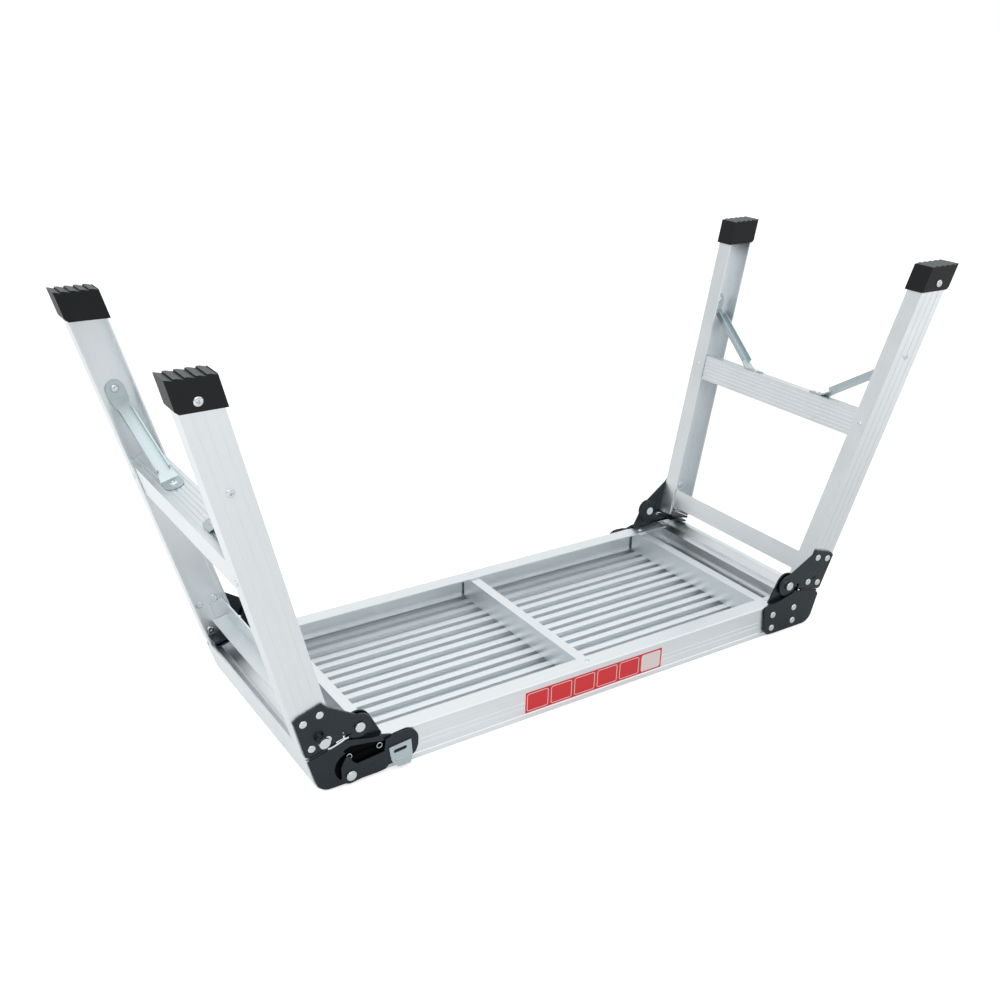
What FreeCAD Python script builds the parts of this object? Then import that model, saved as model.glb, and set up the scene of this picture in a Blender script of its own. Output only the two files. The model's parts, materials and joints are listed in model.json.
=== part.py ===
import FreeCAD, Part
import math
import os

# Folding work platform in aluminium, lying on its deck with both leg frames opened upwards.
# Millimetres, +Z up. X runs along the deck, Y across it, and the origin is on the floor under the
# centre of the deck. The right end is built first; the left end is the right one turned half round Z.

Vector = FreeCAD.Vector

# Deck frame
PLATFORM_WIDTH = 300.0
RAIL_HEIGHT = 45.0
RAIL_WALL = 2.0
LIP_WIDTH = 22.5
LEDGE_WIDTH = 6.0
FACE_RECESS = 0.8
LOWER_BAND_HEIGHT = 6.3
SHOULDER_DROP = 4.4
RAIL_GROOVES = (17.4, 23.7)
GROOVE_WIDTH = 1.2
GROOVE_DEPTH = 0.5

# Deck planks: tread ridges face the floor, stiffening ribs face up
PLANK_GAP = 0.4
MIDDLE_PLANK_PAIRS = 3
TREAD_PITCH = 8.2
TREAD_RIDGE_WIDTH = 4.0
TREAD_RIDGE_HEIGHT = 0.8
PLANK_SKIN = 2.0
RIB_PAIR_PITCH = 40.0
RIB_PAIR_SPACING = 18.0
RIB_WALL = 2.0
RIB_TOP_WIDTH = 10.0
RIB_TOP_THICKNESS = 1.8
DECK_DEPTH = 10.5

# Cross braces under the deck
BRACE_WIDTH = 14.0
BRACE_WALL = 1.6
BRACE_END_GAP = 3.0
CENTRE_BRACE_X = -4.4
END_BRACE_X = 303.5

# End rails
END_RAIL_WALL = 2.0
END_RAIL_BEAD_WIDTH = 10.0
END_RAIL_SHELF_Z = 34.5
END_RAIL_SHELF_X = 357.5
END_RAIL_SHELF_ROOT_X = 373.0
END_RAIL_FOOT_X = 350.0
END_CORNER_RADIUS = 12.0
RAIL_CORNER_RADIUS = 18.0
END_FACE_INSET = 1.2

# Leg frames
PIVOT_X = 328.0
PIVOT_LIFT = 24.7
LEG_TILT = 15.4
LEG_SPLAY = 5.18
LEG_INNER_OFFSET = 26.7
LEG_WIDTH = 41.5
LEG_DEPTH = 23.2
LEG_WALL = 2.0
LEG_GROOVE_COUNT = 3
LEG_GROOVE_PITCH = 10.5
LEG_GROOVE_WIDTH = 0.9
LEG_GROOVE_DEPTH = 0.3
LEG_BACK_GAP = 0.4
OPEN_HEIGHT = 502.5

# Steps and leg braces
STEP_DROP = 231.4
STEP_DEPTH = 36.0
STEP_WALL = 1.8
STEP_GROOVE_COUNT = 6
CROSS_RAIL_BOTTOM = 16.0
CROSS_RAIL_HEIGHT = 26.5
CROSS_RAIL_FLANGE = 22.0
CROSS_RAIL_WALL = 2.0
CROSS_RAIL_TAB = 16.0
FIT_GAP = 0.3
STRUT_WIDTH = 16.0
STRUT_HEAD_RADIUS = 11.0
STRUT_WALL = 1.8
STRUT_FLANGE = 6.0
STRUT_DROP = 110.4
STRUT_FOOT_Y = 60.0
STRUT_FLAT = 14.0
STRUT_TAPER = 14.0

# Feet
FOOT_WALL = 2.6
FOOT_HEIGHT = 33.5
SOLE_THICKNESS = 9.0
SOLE_RIDGES = 5
SOLE_RIDGE_DEPTH = 2.6
SOLE_CREST = 2.5
FOOT_SLIP_FIT = 0.15

# Hinges
PLATE_THICKNESS = 3.0
TAB_THICKNESS = 2.4
LOBE_RADIUS = 15.5
TAB_RADIUS = 16.6
TAB_ROOT = 30.0
TAB_ROOT_LIFT = 3.0
TAB_SETBACK = 2.6
PIN_RADIUS = 4.0
PIN_RUNNING_FIT = 0.06
PIN_HEAD_RADIUS = 6.0
PIN_HEAD_HEIGHT = 2.4
PIN_HEAD_GAP = 0.8
RELIEF_RADIUS = 2.8
SLOT_WIDTH = 2.0
SEAT_GAP = 1.3
SEAT_DEPTH = 27.0
SEAT_STEP = 3.2
SEAT_SETBACK = 0.8
SEAT_HOLE_RADIUS = 3.5
HINGE_FOOT_CLEARANCE = 1.2

# Latches
LATCH_PIVOT_X = 341.0
LATCH_PIVOT_Z = 12.0
LATCH_WALL = 1.5
LATCH_FACE_GAP = 0.7
LATCH_RAIL_GAP = 0.6
LATCH_PIN_RADIUS = 3.5
LATCH_HEAD_RADIUS = 11.0
LATCH_POCKET_DEPTH = 2.0
LATCH_SWEEP_RADIUS = 64.0
LATCH_HANDLE_RADIUS = 15.0
CLIP_THICKNESS = 1.5
CLIP_GAP = 0.3
CLIP_SLOT_RADIUS = 2.3
LOCK_PIN_S = 12.0
LOCK_PIN_E = 44.0
LOCK_SOCKET_S = 19.0
LOCK_SOCKET_DEPTH = 2.0
LOCK_PIN_RADIUS = 4.0
LOCK_PIN_HEAD_RADIUS = 6.5
LOCK_PIN_HEAD_HEIGHT = 3.0
LOCK_PIN_LENGTH = 6.0

# Worked out from the values above
SIDE_FACE_Y = PLATFORM_WIDTH / 2
PIVOT_Z = RAIL_HEIGHT + PIVOT_LIFT
WEB_INNER_Y = SIDE_FACE_Y - FACE_RECESS - RAIL_WALL
LIP_INNER_Y = SIDE_FACE_Y - LIP_WIDTH
END_RAIL_HALF_LENGTH = WEB_INNER_Y - FIT_GAP
TILT = math.radians(LEG_TILT)
SPLAY_SLOPE = math.tan(math.radians(LEG_SPLAY))
LEG_OUTER_OFFSET = LEG_INNER_OFFSET + LEG_WIDTH
END_FACE_OFFSET = LEG_OUTER_OFFSET - END_FACE_INSET
LEG_FACE_Y = SIDE_FACE_Y - LEG_BACK_GAP
LEG_LENGTH = (OPEN_HEIGHT - PIVOT_Z) / math.cos(TILT)
STEP_BOTTOM = LEG_LENGTH - STEP_DROP
STEP_TOP = STEP_BOTTOM + STEP_DEPTH
STRUT_TOP = LEG_LENGTH - STRUT_DROP
PLATE_FACE_Y = SIDE_FACE_Y + PLATE_THICKNESS
LATCH_OUTER_Y = PLATE_FACE_Y + LATCH_FACE_GAP + LATCH_WALL
LATCH_INNER_Y = SIDE_FACE_Y + LATCH_RAIL_GAP
DECK_TOP_Z = DECK_DEPTH
STEP_INNER = LEG_INNER_OFFSET + LEG_WALL + FIT_GAP
STEP_OUTER = LEG_OUTER_OFFSET - LEG_WALL - FIT_GAP


def slant_x(z, offset):
    """X of the line that runs beside the right leg at this offset from its pivot, at height z."""
    return PIVOT_X + (z - PIVOT_Z) * math.tan(TILT) + offset / math.cos(TILT)


def leg_point(s, offset):
    """(x, z) of a point s along the right leg from its pivot and offset outwards from it."""
    x = PIVOT_X + s * math.sin(TILT) + offset * math.cos(TILT)
    z = PIVOT_Z + s * math.cos(TILT) - offset * math.sin(TILT)
    return x, z


def face_of(points):
    return Part.Face(Part.makePolygon(points + [points[0]]))


def prism_xz(points, y0, y1):
    """Solid with an (x, z) outline, from y0 to y1."""
    return face_of([Vector(x, y0, z) for x, z in points]).extrude(Vector(0, y1 - y0, 0))


def prism_yz(points, x0, x1):
    """Solid with a (y, z) outline, from x0 to x1."""
    return face_of([Vector(x0, y, z) for y, z in points]).extrude(Vector(x1 - x0, 0, 0))


def box(x0, x1, y0, y1, z0, z1):
    return Part.makeBox(x1 - x0, y1 - y0, z1 - z0, Vector(x0, y0, z0))


def rod_y(x, z, y0, y1, radius):
    """Round bar along Y."""
    return Part.makeCylinder(radius, y1 - y0, Vector(x, y0, z), Vector(0, 1, 0))


def rod_z(x, y, z0, z1, radius):
    """Round bar along Z."""
    return Part.makeCylinder(radius, z1 - z0, Vector(x, y, z0))


def join(*shapes):
    return shapes[0].multiFuse(list(shapes[1:])).removeSplitter()


def ribbon(path, thickness):
    """Outline of a sheet of this thickness that follows an open path, with mitred bends."""
    left, right = [], []
    for i, (px, pz) in enumerate(path):
        before = path[max(i - 1, 0)]
        after = path[min(i + 1, len(path) - 1)]
        run_in = unit(px - before[0], pz - before[1]) if i > 0 else None
        run_out = unit(after[0] - px, after[1] - pz) if i < len(path) - 1 else None
        run_in = run_in or run_out
        run_out = run_out or run_in
        nx, nz = unit(-(run_in[1] + run_out[1]), run_in[0] + run_out[0])
        reach = thickness / 2 / (nx * -run_in[1] + nz * run_in[0])
        left.append((px + nx * reach, pz + nz * reach))
        right.append((px - nx * reach, pz - nz * reach))
    return left + right[::-1]


def unit(x, z):
    length = math.hypot(x, z)
    return x / length, z / length


def arc(cx, cz, radius, start, end, steps=6):
    """Points on an arc from one angle to another, in degrees."""
    angles = [math.radians(start + (end - start) * i / steps) for i in range(steps + 1)]
    return [(cx + radius * math.cos(a), cz + radius * math.sin(a)) for a in angles]


def end_corner(radius, thickness=0.0):
    """Points round the corner between the floor and the slanted end face, this far inside both."""
    middle_x = slant_x(radius, END_FACE_OFFSET - radius)
    return arc(middle_x, radius, radius - thickness, -90, -LEG_TILT)


def from_pivot(points):
    """(x, z) points given from the leg pivot."""
    return [(PIVOT_X + x, PIVOT_Z + z) for x, z in points]


def from_latch(points):
    """(x, z) points given from the latch pivot."""
    return [(LATCH_PIVOT_X + x, LATCH_PIVOT_Z + z) for x, z in points]


def mirror_y(shape):
    return shape.mirror(Vector(0, 0, 0), Vector(0, 1, 0))


def half_turn(shape):
    turned = shape.copy()
    turned.rotate(Vector(0, 0, 0), Vector(0, 0, 1), 180)
    return turned


def leg_matrix():
    """Places a shape drawn upright: x from the pivot outwards, y inwards from the web, z along the leg."""
    along = Vector(math.sin(TILT), -SPLAY_SLOPE, math.cos(TILT))
    along.normalize()
    outwards = Vector(math.cos(TILT), 0, -math.sin(TILT))
    inwards = along.cross(outwards)
    origin = Vector(PIVOT_X, -LEG_FACE_Y, PIVOT_Z)
    rows = []
    for row in zip(outwards, inwards, along, origin):
        rows += row
    return FreeCAD.Matrix(*rows, 0, 0, 0, 1)


def on_leg(shape):
    placed = shape.copy()
    placed.Placement = FreeCAD.Placement(leg_matrix()).multiply(placed.Placement)
    return placed


def leg_prism(points, w0, w1):
    """Solid on the near right leg with an (s, offset) outline, between two depths from the web face."""
    return on_leg(face_of([Vector(e, w0, s) for s, e in points]).extrude(Vector(0, w1 - w0, 0)))


def frame_prism(points, reach):
    """Solid along Y with an (s, offset) outline in the plane of the right leg frame."""
    return prism_xz([leg_point(s, e) for s, e in points], -reach, reach)


def half_width(s):
    """Half of the clear width between the leg webs at s."""
    return LEG_FACE_Y + s * SPLAY_SLOPE - LEG_WALL * math.hypot(1, SPLAY_SLOPE) - FIT_GAP


def between_legs(s0, s1):
    """Solid that fills the space between the leg webs from s0 to s1, over all offsets."""
    corners = []
    for s, sign in ((s0, -1), (s1, -1), (s1, 1), (s0, 1)):
        x, z = leg_point(s, 0)
        corners.append(Vector(x, sign * half_width(s), z))
    outwards = Vector(math.cos(TILT), 0, -math.sin(TILT))
    return face_of(corners).extrude(outwards * (LEG_OUTER_OFFSET * 2))


def side_rail():
    """Near side rail: an open channel with a lip over the braces and a ledge over the planks."""
    face = SIDE_FACE_Y - FACE_RECESS
    shoulder = RAIL_HEIGHT - SHOULDER_DROP
    outline = [(-SIDE_FACE_Y, 0), (-SIDE_FACE_Y, LOWER_BAND_HEIGHT), (-face, LOWER_BAND_HEIGHT + FACE_RECESS)]
    for z in RAIL_GROOVES:
        outline += [(-face, z - GROOVE_WIDTH / 2), (-face + GROOVE_DEPTH, z),
                    (-face, z + GROOVE_WIDTH / 2)]
    ledge_z = DECK_TOP_Z + FIT_GAP
    lip_z = RAIL_HEIGHT - RAIL_WALL
    ledge_y = -WEB_INNER_Y + LEDGE_WIDTH
    outline += [(-face, shoulder - FACE_RECESS), (-SIDE_FACE_Y, shoulder),
                (-SIDE_FACE_Y, RAIL_HEIGHT - FACE_RECESS), (-SIDE_FACE_Y + FACE_RECESS, RAIL_HEIGHT),
                (-LIP_INNER_Y, RAIL_HEIGHT), (-LIP_INNER_Y, lip_z), (-WEB_INNER_Y, lip_z),
                (-WEB_INNER_Y, ledge_z + RAIL_WALL), (ledge_y, ledge_z + RAIL_WALL), (ledge_y, ledge_z),
                (-WEB_INNER_Y, ledge_z), (-WEB_INNER_Y, 0)]
    reach = slant_x(RAIL_HEIGHT, END_FACE_OFFSET)
    rail = prism_yz(outline, -reach, reach)
    wide = PLATFORM_WIDTH
    right = end_corner(RAIL_CORNER_RADIUS) + [(reach, RAIL_HEIGHT)]
    left = [(-x, z) for x, z in reversed(right)]
    rail = rail.common(prism_xz(right + left, -wide, wide))
    for x0, x1 in ((END_RAIL_FOOT_X - FIT_GAP, reach), (-reach, -END_RAIL_FOOT_X + FIT_GAP)):
        rail = rail.cut(box(x0, x1, -WEB_INNER_Y, 0, 0, RAIL_HEIGHT))
    return rail


def plank(y0, y1, ribs):
    """One deck plank: skin, tread ridges below it and T-shaped ribs above it at these places."""
    skin_top = TREAD_RIDGE_HEIGHT + PLANK_SKIN
    middle = (y0 + y1) / 2
    count = int((y1 - y0 - TREAD_RIDGE_WIDTH) / TREAD_PITCH / 2)
    outline = [(y0, TREAD_RIDGE_HEIGHT)]
    for i in range(-count, count + 1):
        y = middle + i * TREAD_PITCH
        left, right = y - TREAD_RIDGE_WIDTH / 2, y + TREAD_RIDGE_WIDTH / 2
        outline += [(left, TREAD_RIDGE_HEIGHT), (left, 0), (right, 0), (right, TREAD_RIDGE_HEIGHT)]
    outline += [(y1, TREAD_RIDGE_HEIGHT), (y1, skin_top)]
    under = DECK_DEPTH - RIB_TOP_THICKNESS
    stem, cap = RIB_WALL / 2, RIB_TOP_WIDTH / 2
    for y in sorted(ribs, reverse=True):
        outline += [(y + stem, skin_top), (y + stem, under), (y + cap, under), (y + cap, DECK_DEPTH),
                    (y - cap, DECK_DEPTH), (y - cap, under), (y - stem, under), (y - stem, skin_top)]
    outline.append((y0, skin_top))
    half = END_RAIL_FOOT_X - FIT_GAP
    return prism_yz(outline, -half, half)


def plank_bounds():
    """(y0, y1) of the near, middle and far planks; the seams lie midway between two rib pairs."""
    edge = WEB_INNER_Y - FIT_GAP
    seam = RIB_PAIR_PITCH * MIDDLE_PLANK_PAIRS / 2
    near = (-edge, -seam - PLANK_GAP / 2)
    middle = (-seam + PLANK_GAP / 2, seam - PLANK_GAP / 2)
    return {"near": near, "middle": middle, "far": (-near[1], edge)}


def rib_places(y0, y1):
    """Centres of the ribs, in pairs, that fit whole on a plank between y0 and y1."""
    count = int(SIDE_FACE_Y / RIB_PAIR_PITCH) + 1
    places = []
    for i in range(-count, count + 1):
        for side in (-1, 1):
            y = i * RIB_PAIR_PITCH + side * RIB_PAIR_SPACING / 2
            if y - RIB_TOP_WIDTH / 2 > y0 and y + RIB_TOP_WIDTH / 2 < y1:
                places.append(y)
    return places


def cross_brace(x):
    """Channel under the side rails' lips, open towards the deck."""
    top = RAIL_HEIGHT - RAIL_WALL - FIT_GAP
    bottom = DECK_TOP_Z + FIT_GAP
    reach = WEB_INNER_Y - BRACE_END_GAP
    half, inner = BRACE_WIDTH / 2, BRACE_WIDTH / 2 - BRACE_WALL
    body = box(x - half, x + half, -reach, reach, bottom, top)
    body = body.cut(box(x - inner, x + inner, -reach, reach, bottom, top - BRACE_WALL))
    notch_y = WEB_INNER_Y - LEDGE_WIDTH - FIT_GAP
    notch_top = bottom + RAIL_WALL + FIT_GAP
    for y0, y1 in ((-reach, -notch_y), (notch_y, reach)):
        body = body.cut(box(x - half, x + half, y0, y1, bottom, notch_top))
    return body


def end_rail():
    """Right end rail: slanted face, round corner to the deck, bead on top and a shelf inside it."""
    wall = END_RAIL_WALL
    offset = END_FACE_OFFSET - wall / 2
    top = RAIL_HEIGHT - wall / 2
    bead_x = slant_x(top, offset)
    path = [(END_RAIL_FOOT_X, wall / 2)]
    path += end_corner(END_CORNER_RADIUS, wall / 2)
    path += [(slant_x(top - 3, offset), top - 3)]
    path += [(bead_x - 1.2, top - 0.8), (bead_x - 3, top)]
    path += [(bead_x - END_RAIL_BEAD_WIDTH + 2, top), (bead_x - END_RAIL_BEAD_WIDTH, top - 0.6)]
    shelf = END_RAIL_SHELF_Z - wall / 2
    path += [(END_RAIL_SHELF_ROOT_X + 1.0, shelf + 1.5), (END_RAIL_SHELF_ROOT_X - 1.0, shelf)]
    path += [(END_RAIL_SHELF_X, shelf)]
    return prism_xz(ribbon(path, wall), -END_RAIL_HALF_LENGTH, END_RAIL_HALF_LENGTH)


def leg_rail():
    """Near right leg: a channel with its web outside and shallow grooves along the web."""
    length = OPEN_HEIGHT / math.cos(TILT)
    outer = Part.makeBox(LEG_WIDTH, LEG_DEPTH, length, Vector(LEG_INNER_OFFSET, 0, 0))
    hollow = Part.makeBox(LEG_WIDTH - 2 * LEG_WALL, LEG_DEPTH, length,
                          Vector(LEG_INNER_OFFSET + LEG_WALL, LEG_WALL, 0))
    rail = outer.cut(hollow)
    middle = LEG_INNER_OFFSET + LEG_WIDTH / 2
    for i in range(LEG_GROOVE_COUNT):
        e = middle + (i - (LEG_GROOVE_COUNT - 1) / 2) * LEG_GROOVE_PITCH
        rail = rail.cut(Part.makeBox(LEG_GROOVE_WIDTH, LEG_GROOVE_DEPTH, length,
                                     Vector(e - LEG_GROOVE_WIDTH / 2, 0, 0)))
    rail = on_leg(rail)
    top = OPEN_HEIGHT - SOLE_THICKNESS
    return rail.cut(box(0, 2 * PIVOT_X, -PLATFORM_WIDTH, 0, top, 2 * OPEN_HEIGHT))


def foot():
    """Near right foot: a cap over the leg's end with a ridged sole, level when the leg is open."""
    length = OPEN_HEIGHT / math.cos(TILT)
    inner, outer = LEG_INNER_OFFSET - FOOT_WALL, LEG_OUTER_OFFSET + FOOT_WALL
    block = on_leg(Part.makeBox(outer - inner, LEG_DEPTH + 2 * FOOT_WALL, length,
                                Vector(inner, -FOOT_WALL, 0)))
    bottom = OPEN_HEIGHT - FOOT_HEIGHT
    crest = OPEN_HEIGHT
    valley = OPEN_HEIGHT - SOLE_RIDGE_DEPTH
    x0, x1 = slant_x(crest, inner) - 1, slant_x(crest, outer) + 1
    low0, low1 = slant_x(bottom, inner) - 1, slant_x(bottom, outer) - 3
    outline = [(low0, bottom), (low1, bottom), (slant_x(bottom + 3, outer), bottom + 3), (x1, crest)]
    pitch = (x1 - x0) / SOLE_RIDGES
    for i in range(SOLE_RIDGES):
        start = x1 - i * pitch
        outline += [(start - SOLE_CREST, crest), (start - pitch + 1.0, valley + 0.8),
                    (start - pitch + 0.6, crest)]
    outline += [(x0, crest - 2)]
    cap = block.common(prism_xz(outline, -PLATFORM_WIDTH, 0))
    fit = FOOT_SLIP_FIT
    socket = Part.makeBox(LEG_WIDTH + 2 * fit, LEG_DEPTH + 2 * fit, length,
                          Vector(LEG_INNER_OFFSET - fit, -fit, 0))
    plug = Part.makeBox(LEG_WIDTH - 2 * LEG_WALL - 2 * fit, LEG_DEPTH + 2 * fit, length,
                        Vector(LEG_INNER_OFFSET + LEG_WALL + fit, LEG_WALL + fit, 0))
    pocket = on_leg(socket.cut(plug))
    below_sole = box(0, 2 * PIVOT_X, -PLATFORM_WIDTH, 0, 0, OPEN_HEIGHT - SOLE_THICKNESS + fit)
    return cap.cut(pocket.common(below_sole))


def mid_step():
    """Right step: a box section between the leg webs, grooved on its face and on its tread."""
    s0, s1 = STEP_BOTTOM, STEP_TOP
    e0, e1 = STEP_INNER, STEP_OUTER
    wall = STEP_WALL
    outline = [(s0, e0)]
    pitch = STEP_DEPTH / (STEP_GROOVE_COUNT + 1)
    for i in range(STEP_GROOVE_COUNT):
        s = s0 + pitch * (i + 1)
        outline += [(s - GROOVE_WIDTH / 2, e0), (s, e0 + GROOVE_DEPTH), (s + GROOVE_WIDTH / 2, e0)]
    outline += [(s1, e0)]
    tread_pitch = (e1 - e0) / (STEP_GROOVE_COUNT + 1)
    for i in range(STEP_GROOVE_COUNT):
        e = e0 + tread_pitch * (i + 1)
        outline += [(s1, e - GROOVE_WIDTH / 2), (s1 - GROOVE_DEPTH, e), (s1, e + GROOVE_WIDTH / 2)]
    outline += [(s1, e1), (s0, e1)]
    for i in reversed(range(STEP_GROOVE_COUNT)):
        e = e0 + tread_pitch * (i + 1)
        outline += [(s0, e + GROOVE_WIDTH), (s0 + GROOVE_DEPTH, e + GROOVE_WIDTH / 2),
                    (s0 + GROOVE_DEPTH, e - GROOVE_WIDTH / 2), (s0, e - GROOVE_WIDTH)]
    reach = PLATFORM_WIDTH
    hollow = [(s0 + wall, e0 + wall), (s1 - wall, e0 + wall), (s1 - wall, e1 - wall),
              (s0 + wall, e1 - wall)]
    tube = frame_prism(outline, reach).cut(frame_prism(hollow, reach))
    return tube.common(between_legs(s0, s1))


def cross_rail():
    """Right cross rail near the hinges: an angle with a tab riveted to each leg web."""
    s0, s1 = CROSS_RAIL_BOTTOM, CROSS_RAIL_BOTTOM + CROSS_RAIL_HEIGHT
    e0 = STEP_INNER
    wall = CROSS_RAIL_WALL
    outline = [(s0, e0), (s1, e0), (s1, e0 + wall), (s0 + wall, e0 + wall),
               (s0 + wall, e0 + CROSS_RAIL_FLANGE), (s0, e0 + CROSS_RAIL_FLANGE)]
    angle = frame_prism(outline, PLATFORM_WIDTH).common(between_legs(s0, s1))
    tab_points = [(s0 + wall, e0), (s1 - wall, e0), (s1 - wall, e0 + CROSS_RAIL_TAB),
                  (s0 + wall, e0 + CROSS_RAIL_TAB)]
    tab = leg_prism(tab_points, LEG_WALL + FIT_GAP, LEG_WALL + FIT_GAP + wall)
    return join(angle, tab, mirror_y(tab))


def strut():
    """Near right leg brace: a pressed channel from the leg web to the step, flat and round at its ends."""
    wall = STRUT_WALL
    head = STRUT_HEAD_RADIUS
    half = STRUT_WIDTH / 2
    middle = LEG_INNER_OFFSET + LEG_WIDTH / 2
    web_gap = FIT_GAP + wall / 2
    along = Vector(math.sin(TILT), 0, math.cos(TILT))
    outwards = Vector(math.cos(TILT), 0, -math.sin(TILT))
    foot_s = STEP_TOP + web_gap
    bend_s = STRUT_TOP - STRUT_FLAT
    top = (STRUT_TOP, -half_width(STRUT_TOP) - FIT_GAP + web_gap)
    bend_top = (bend_s, -half_width(bend_s) - FIT_GAP + web_gap)
    bend_foot = (foot_s, -STRUT_FOOT_Y - STRUT_FLAT)
    foot_end = (foot_s, -STRUT_FOOT_Y)

    def spot(s, y, e):
        x, z = leg_point(s, e)
        return Vector(x, y, z)

    def strap(path, e0, e1, thickness):
        corners = [spot(s, y, e0) for s, y in ribbon(path, thickness)]
        return face_of(corners).extrude(outwards * (e1 - e0))

    def beyond(point, towards, distance):
        ds, dy = unit(point[0] - towards[0], point[1] - towards[1])
        return point[0] + ds * distance, point[1] + dy * distance

    path = [beyond(top, bend_top, head), bend_top, bend_foot, beyond(foot_end, bend_foot, head)]
    sheet = strap(path, middle - head, middle + head, wall)

    run_s, run_y = unit(bend_foot[0] - bend_top[0], bend_foot[1] - bend_top[1])
    length = math.dist(bend_top, bend_foot)
    side = (-run_y, run_s) if run_y < 0 else (run_y, -run_s)
    shank = [(-2, head), (STRUT_TAPER, half), (length - STRUT_TAPER, half), (length + 2, head)]
    shank += [(t, -e) for t, e in reversed(shank)]
    corners = [spot(bend_top[0] + run_s * t, bend_top[1] + run_y * t, middle + e) for t, e in shank]
    across = along * side[0] + Vector(0, side[1], 0)
    shank_keep = face_of([corner - across * head for corner in corners]).extrude(across * head * 2)

    disc_top = on_leg(Part.makeCylinder(head, LEG_DEPTH, Vector(middle, 0, STRUT_TOP), Vector(0, 1, 0)))
    flat_top = leg_prism([(STRUT_TOP, middle - head), (STRUT_TOP, middle + head),
                          (bend_s, middle + head), (bend_s, middle - head)], 0, LEG_DEPTH)
    base = spot(foot_s - head, -STRUT_FOOT_Y, middle)
    disc_foot = Part.makeCylinder(head, head * 2, base, along)
    flat_corners = [base - outwards * head, base + outwards * head]
    flat_corners += [corner + Vector(0, -STRUT_FLAT, 0) for corner in reversed(flat_corners)]
    flat_foot = face_of(flat_corners).extrude(along * head * 2)
    body = sheet.common(join(shank_keep, disc_top, flat_top, disc_foot, flat_foot))

    lift = STRUT_FLANGE / 2

    def rim_point(t):
        return (bend_top[0] + run_s * t + side[0] * lift, bend_top[1] + run_y * t + side[1] * lift)

    rim = [rim_point(STRUT_TAPER), rim_point(length - STRUT_TAPER)]
    flanges = [strap(rim, e, e + wall, STRUT_FLANGE) for e in (middle - half, middle + half - wall)]
    return join(body, *flanges)


def leg_plate(latched):
    """Near right leg plate, riveted on the leg web, with a lobe around the pivot and a seat tab."""
    outer = LEG_OUTER_OFFSET - END_FACE_INSET
    inner = LEG_INNER_OFFSET
    bottom = -PLATE_THICKNESS
    relief_e = inner - 8.7
    outline = [(bottom, relief_e), (bottom, outer - 3), (0, outer), (50.5, outer), (53.8, outer - 6.5),
               (55.0, inner + 4), (47.0, inner - 0.5), (29.5, inner - 16.5), (LOBE_RADIUS, -2.5),
               (0, 0), (bottom, relief_e - 12)]
    plate = leg_prism(outline, -PLATE_THICKNESS, 0)
    lobe = on_leg(Part.makeCylinder(LOBE_RADIUS, PLATE_THICKNESS, Vector(0, 0, 0), Vector(0, -1, 0)))
    relief = on_leg(Part.makeCylinder(RELIEF_RADIUS, 3 * PLATE_THICKNESS,
                                      Vector(relief_e, PLATE_THICKNESS, 2.0), Vector(0, -1, 0)))
    slot = leg_prism([(bottom - 1, relief_e - 9), (-0.5, relief_e), (2.0, relief_e + RELIEF_RADIUS),
                      (bottom - 1, relief_e + RELIEF_RADIUS)], -2 * PLATE_THICKNESS, PLATE_THICKNESS)
    seat_points = [(bottom, inner + 2.5), (bottom, outer - 3.5), (0, outer - 3.5), (0, inner + 2.5)]
    seat = leg_prism(seat_points, -PLATE_THICKNESS, SEAT_DEPTH)
    plate = join(plate, lobe).cut(relief).cut(slot)
    plate = join(plate, seat)
    hole = rod_y(PIVOT_X, PIVOT_Z, -2 * SIDE_FACE_Y, 0, PIN_RADIUS + PIN_RUNNING_FIT)
    plate = plate.cut(hole)
    if latched:
        for s in (LOCK_PIN_S, LOCK_SOCKET_S):
            socket = Part.makeCylinder(LOCK_PIN_RADIUS, PLATE_THICKNESS,
                                       Vector(LOCK_PIN_E, LOCK_SOCKET_DEPTH - PLATE_THICKNESS, s),
                                       Vector(0, -1, 0))
            plate = plate.cut(on_leg(socket))
    else:
        outline = ribbon([(11.6, 44.3), (15.6, 49.1)], SLOT_WIDTH)
        plate = plate.cut(leg_prism(outline, -2 * PLATE_THICKNESS, 0))
    return plate


def lock_pin():
    """Headed pin that stands out from the leg plate on the latched hinge."""
    root = LOCK_SOCKET_DEPTH - PLATE_THICKNESS
    length = LOCK_PIN_LENGTH + LOCK_SOCKET_DEPTH
    shank = Part.makeCylinder(LOCK_PIN_RADIUS, length,
                              Vector(LOCK_PIN_E, root, LOCK_PIN_S), Vector(0, -1, 0))
    head = Part.makeCylinder(LOCK_PIN_HEAD_RADIUS, LOCK_PIN_HEAD_HEIGHT,
                             Vector(LOCK_PIN_E, root - length, LOCK_PIN_S), Vector(0, -1, 0))
    return on_leg(shank.fuse(head))


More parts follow.
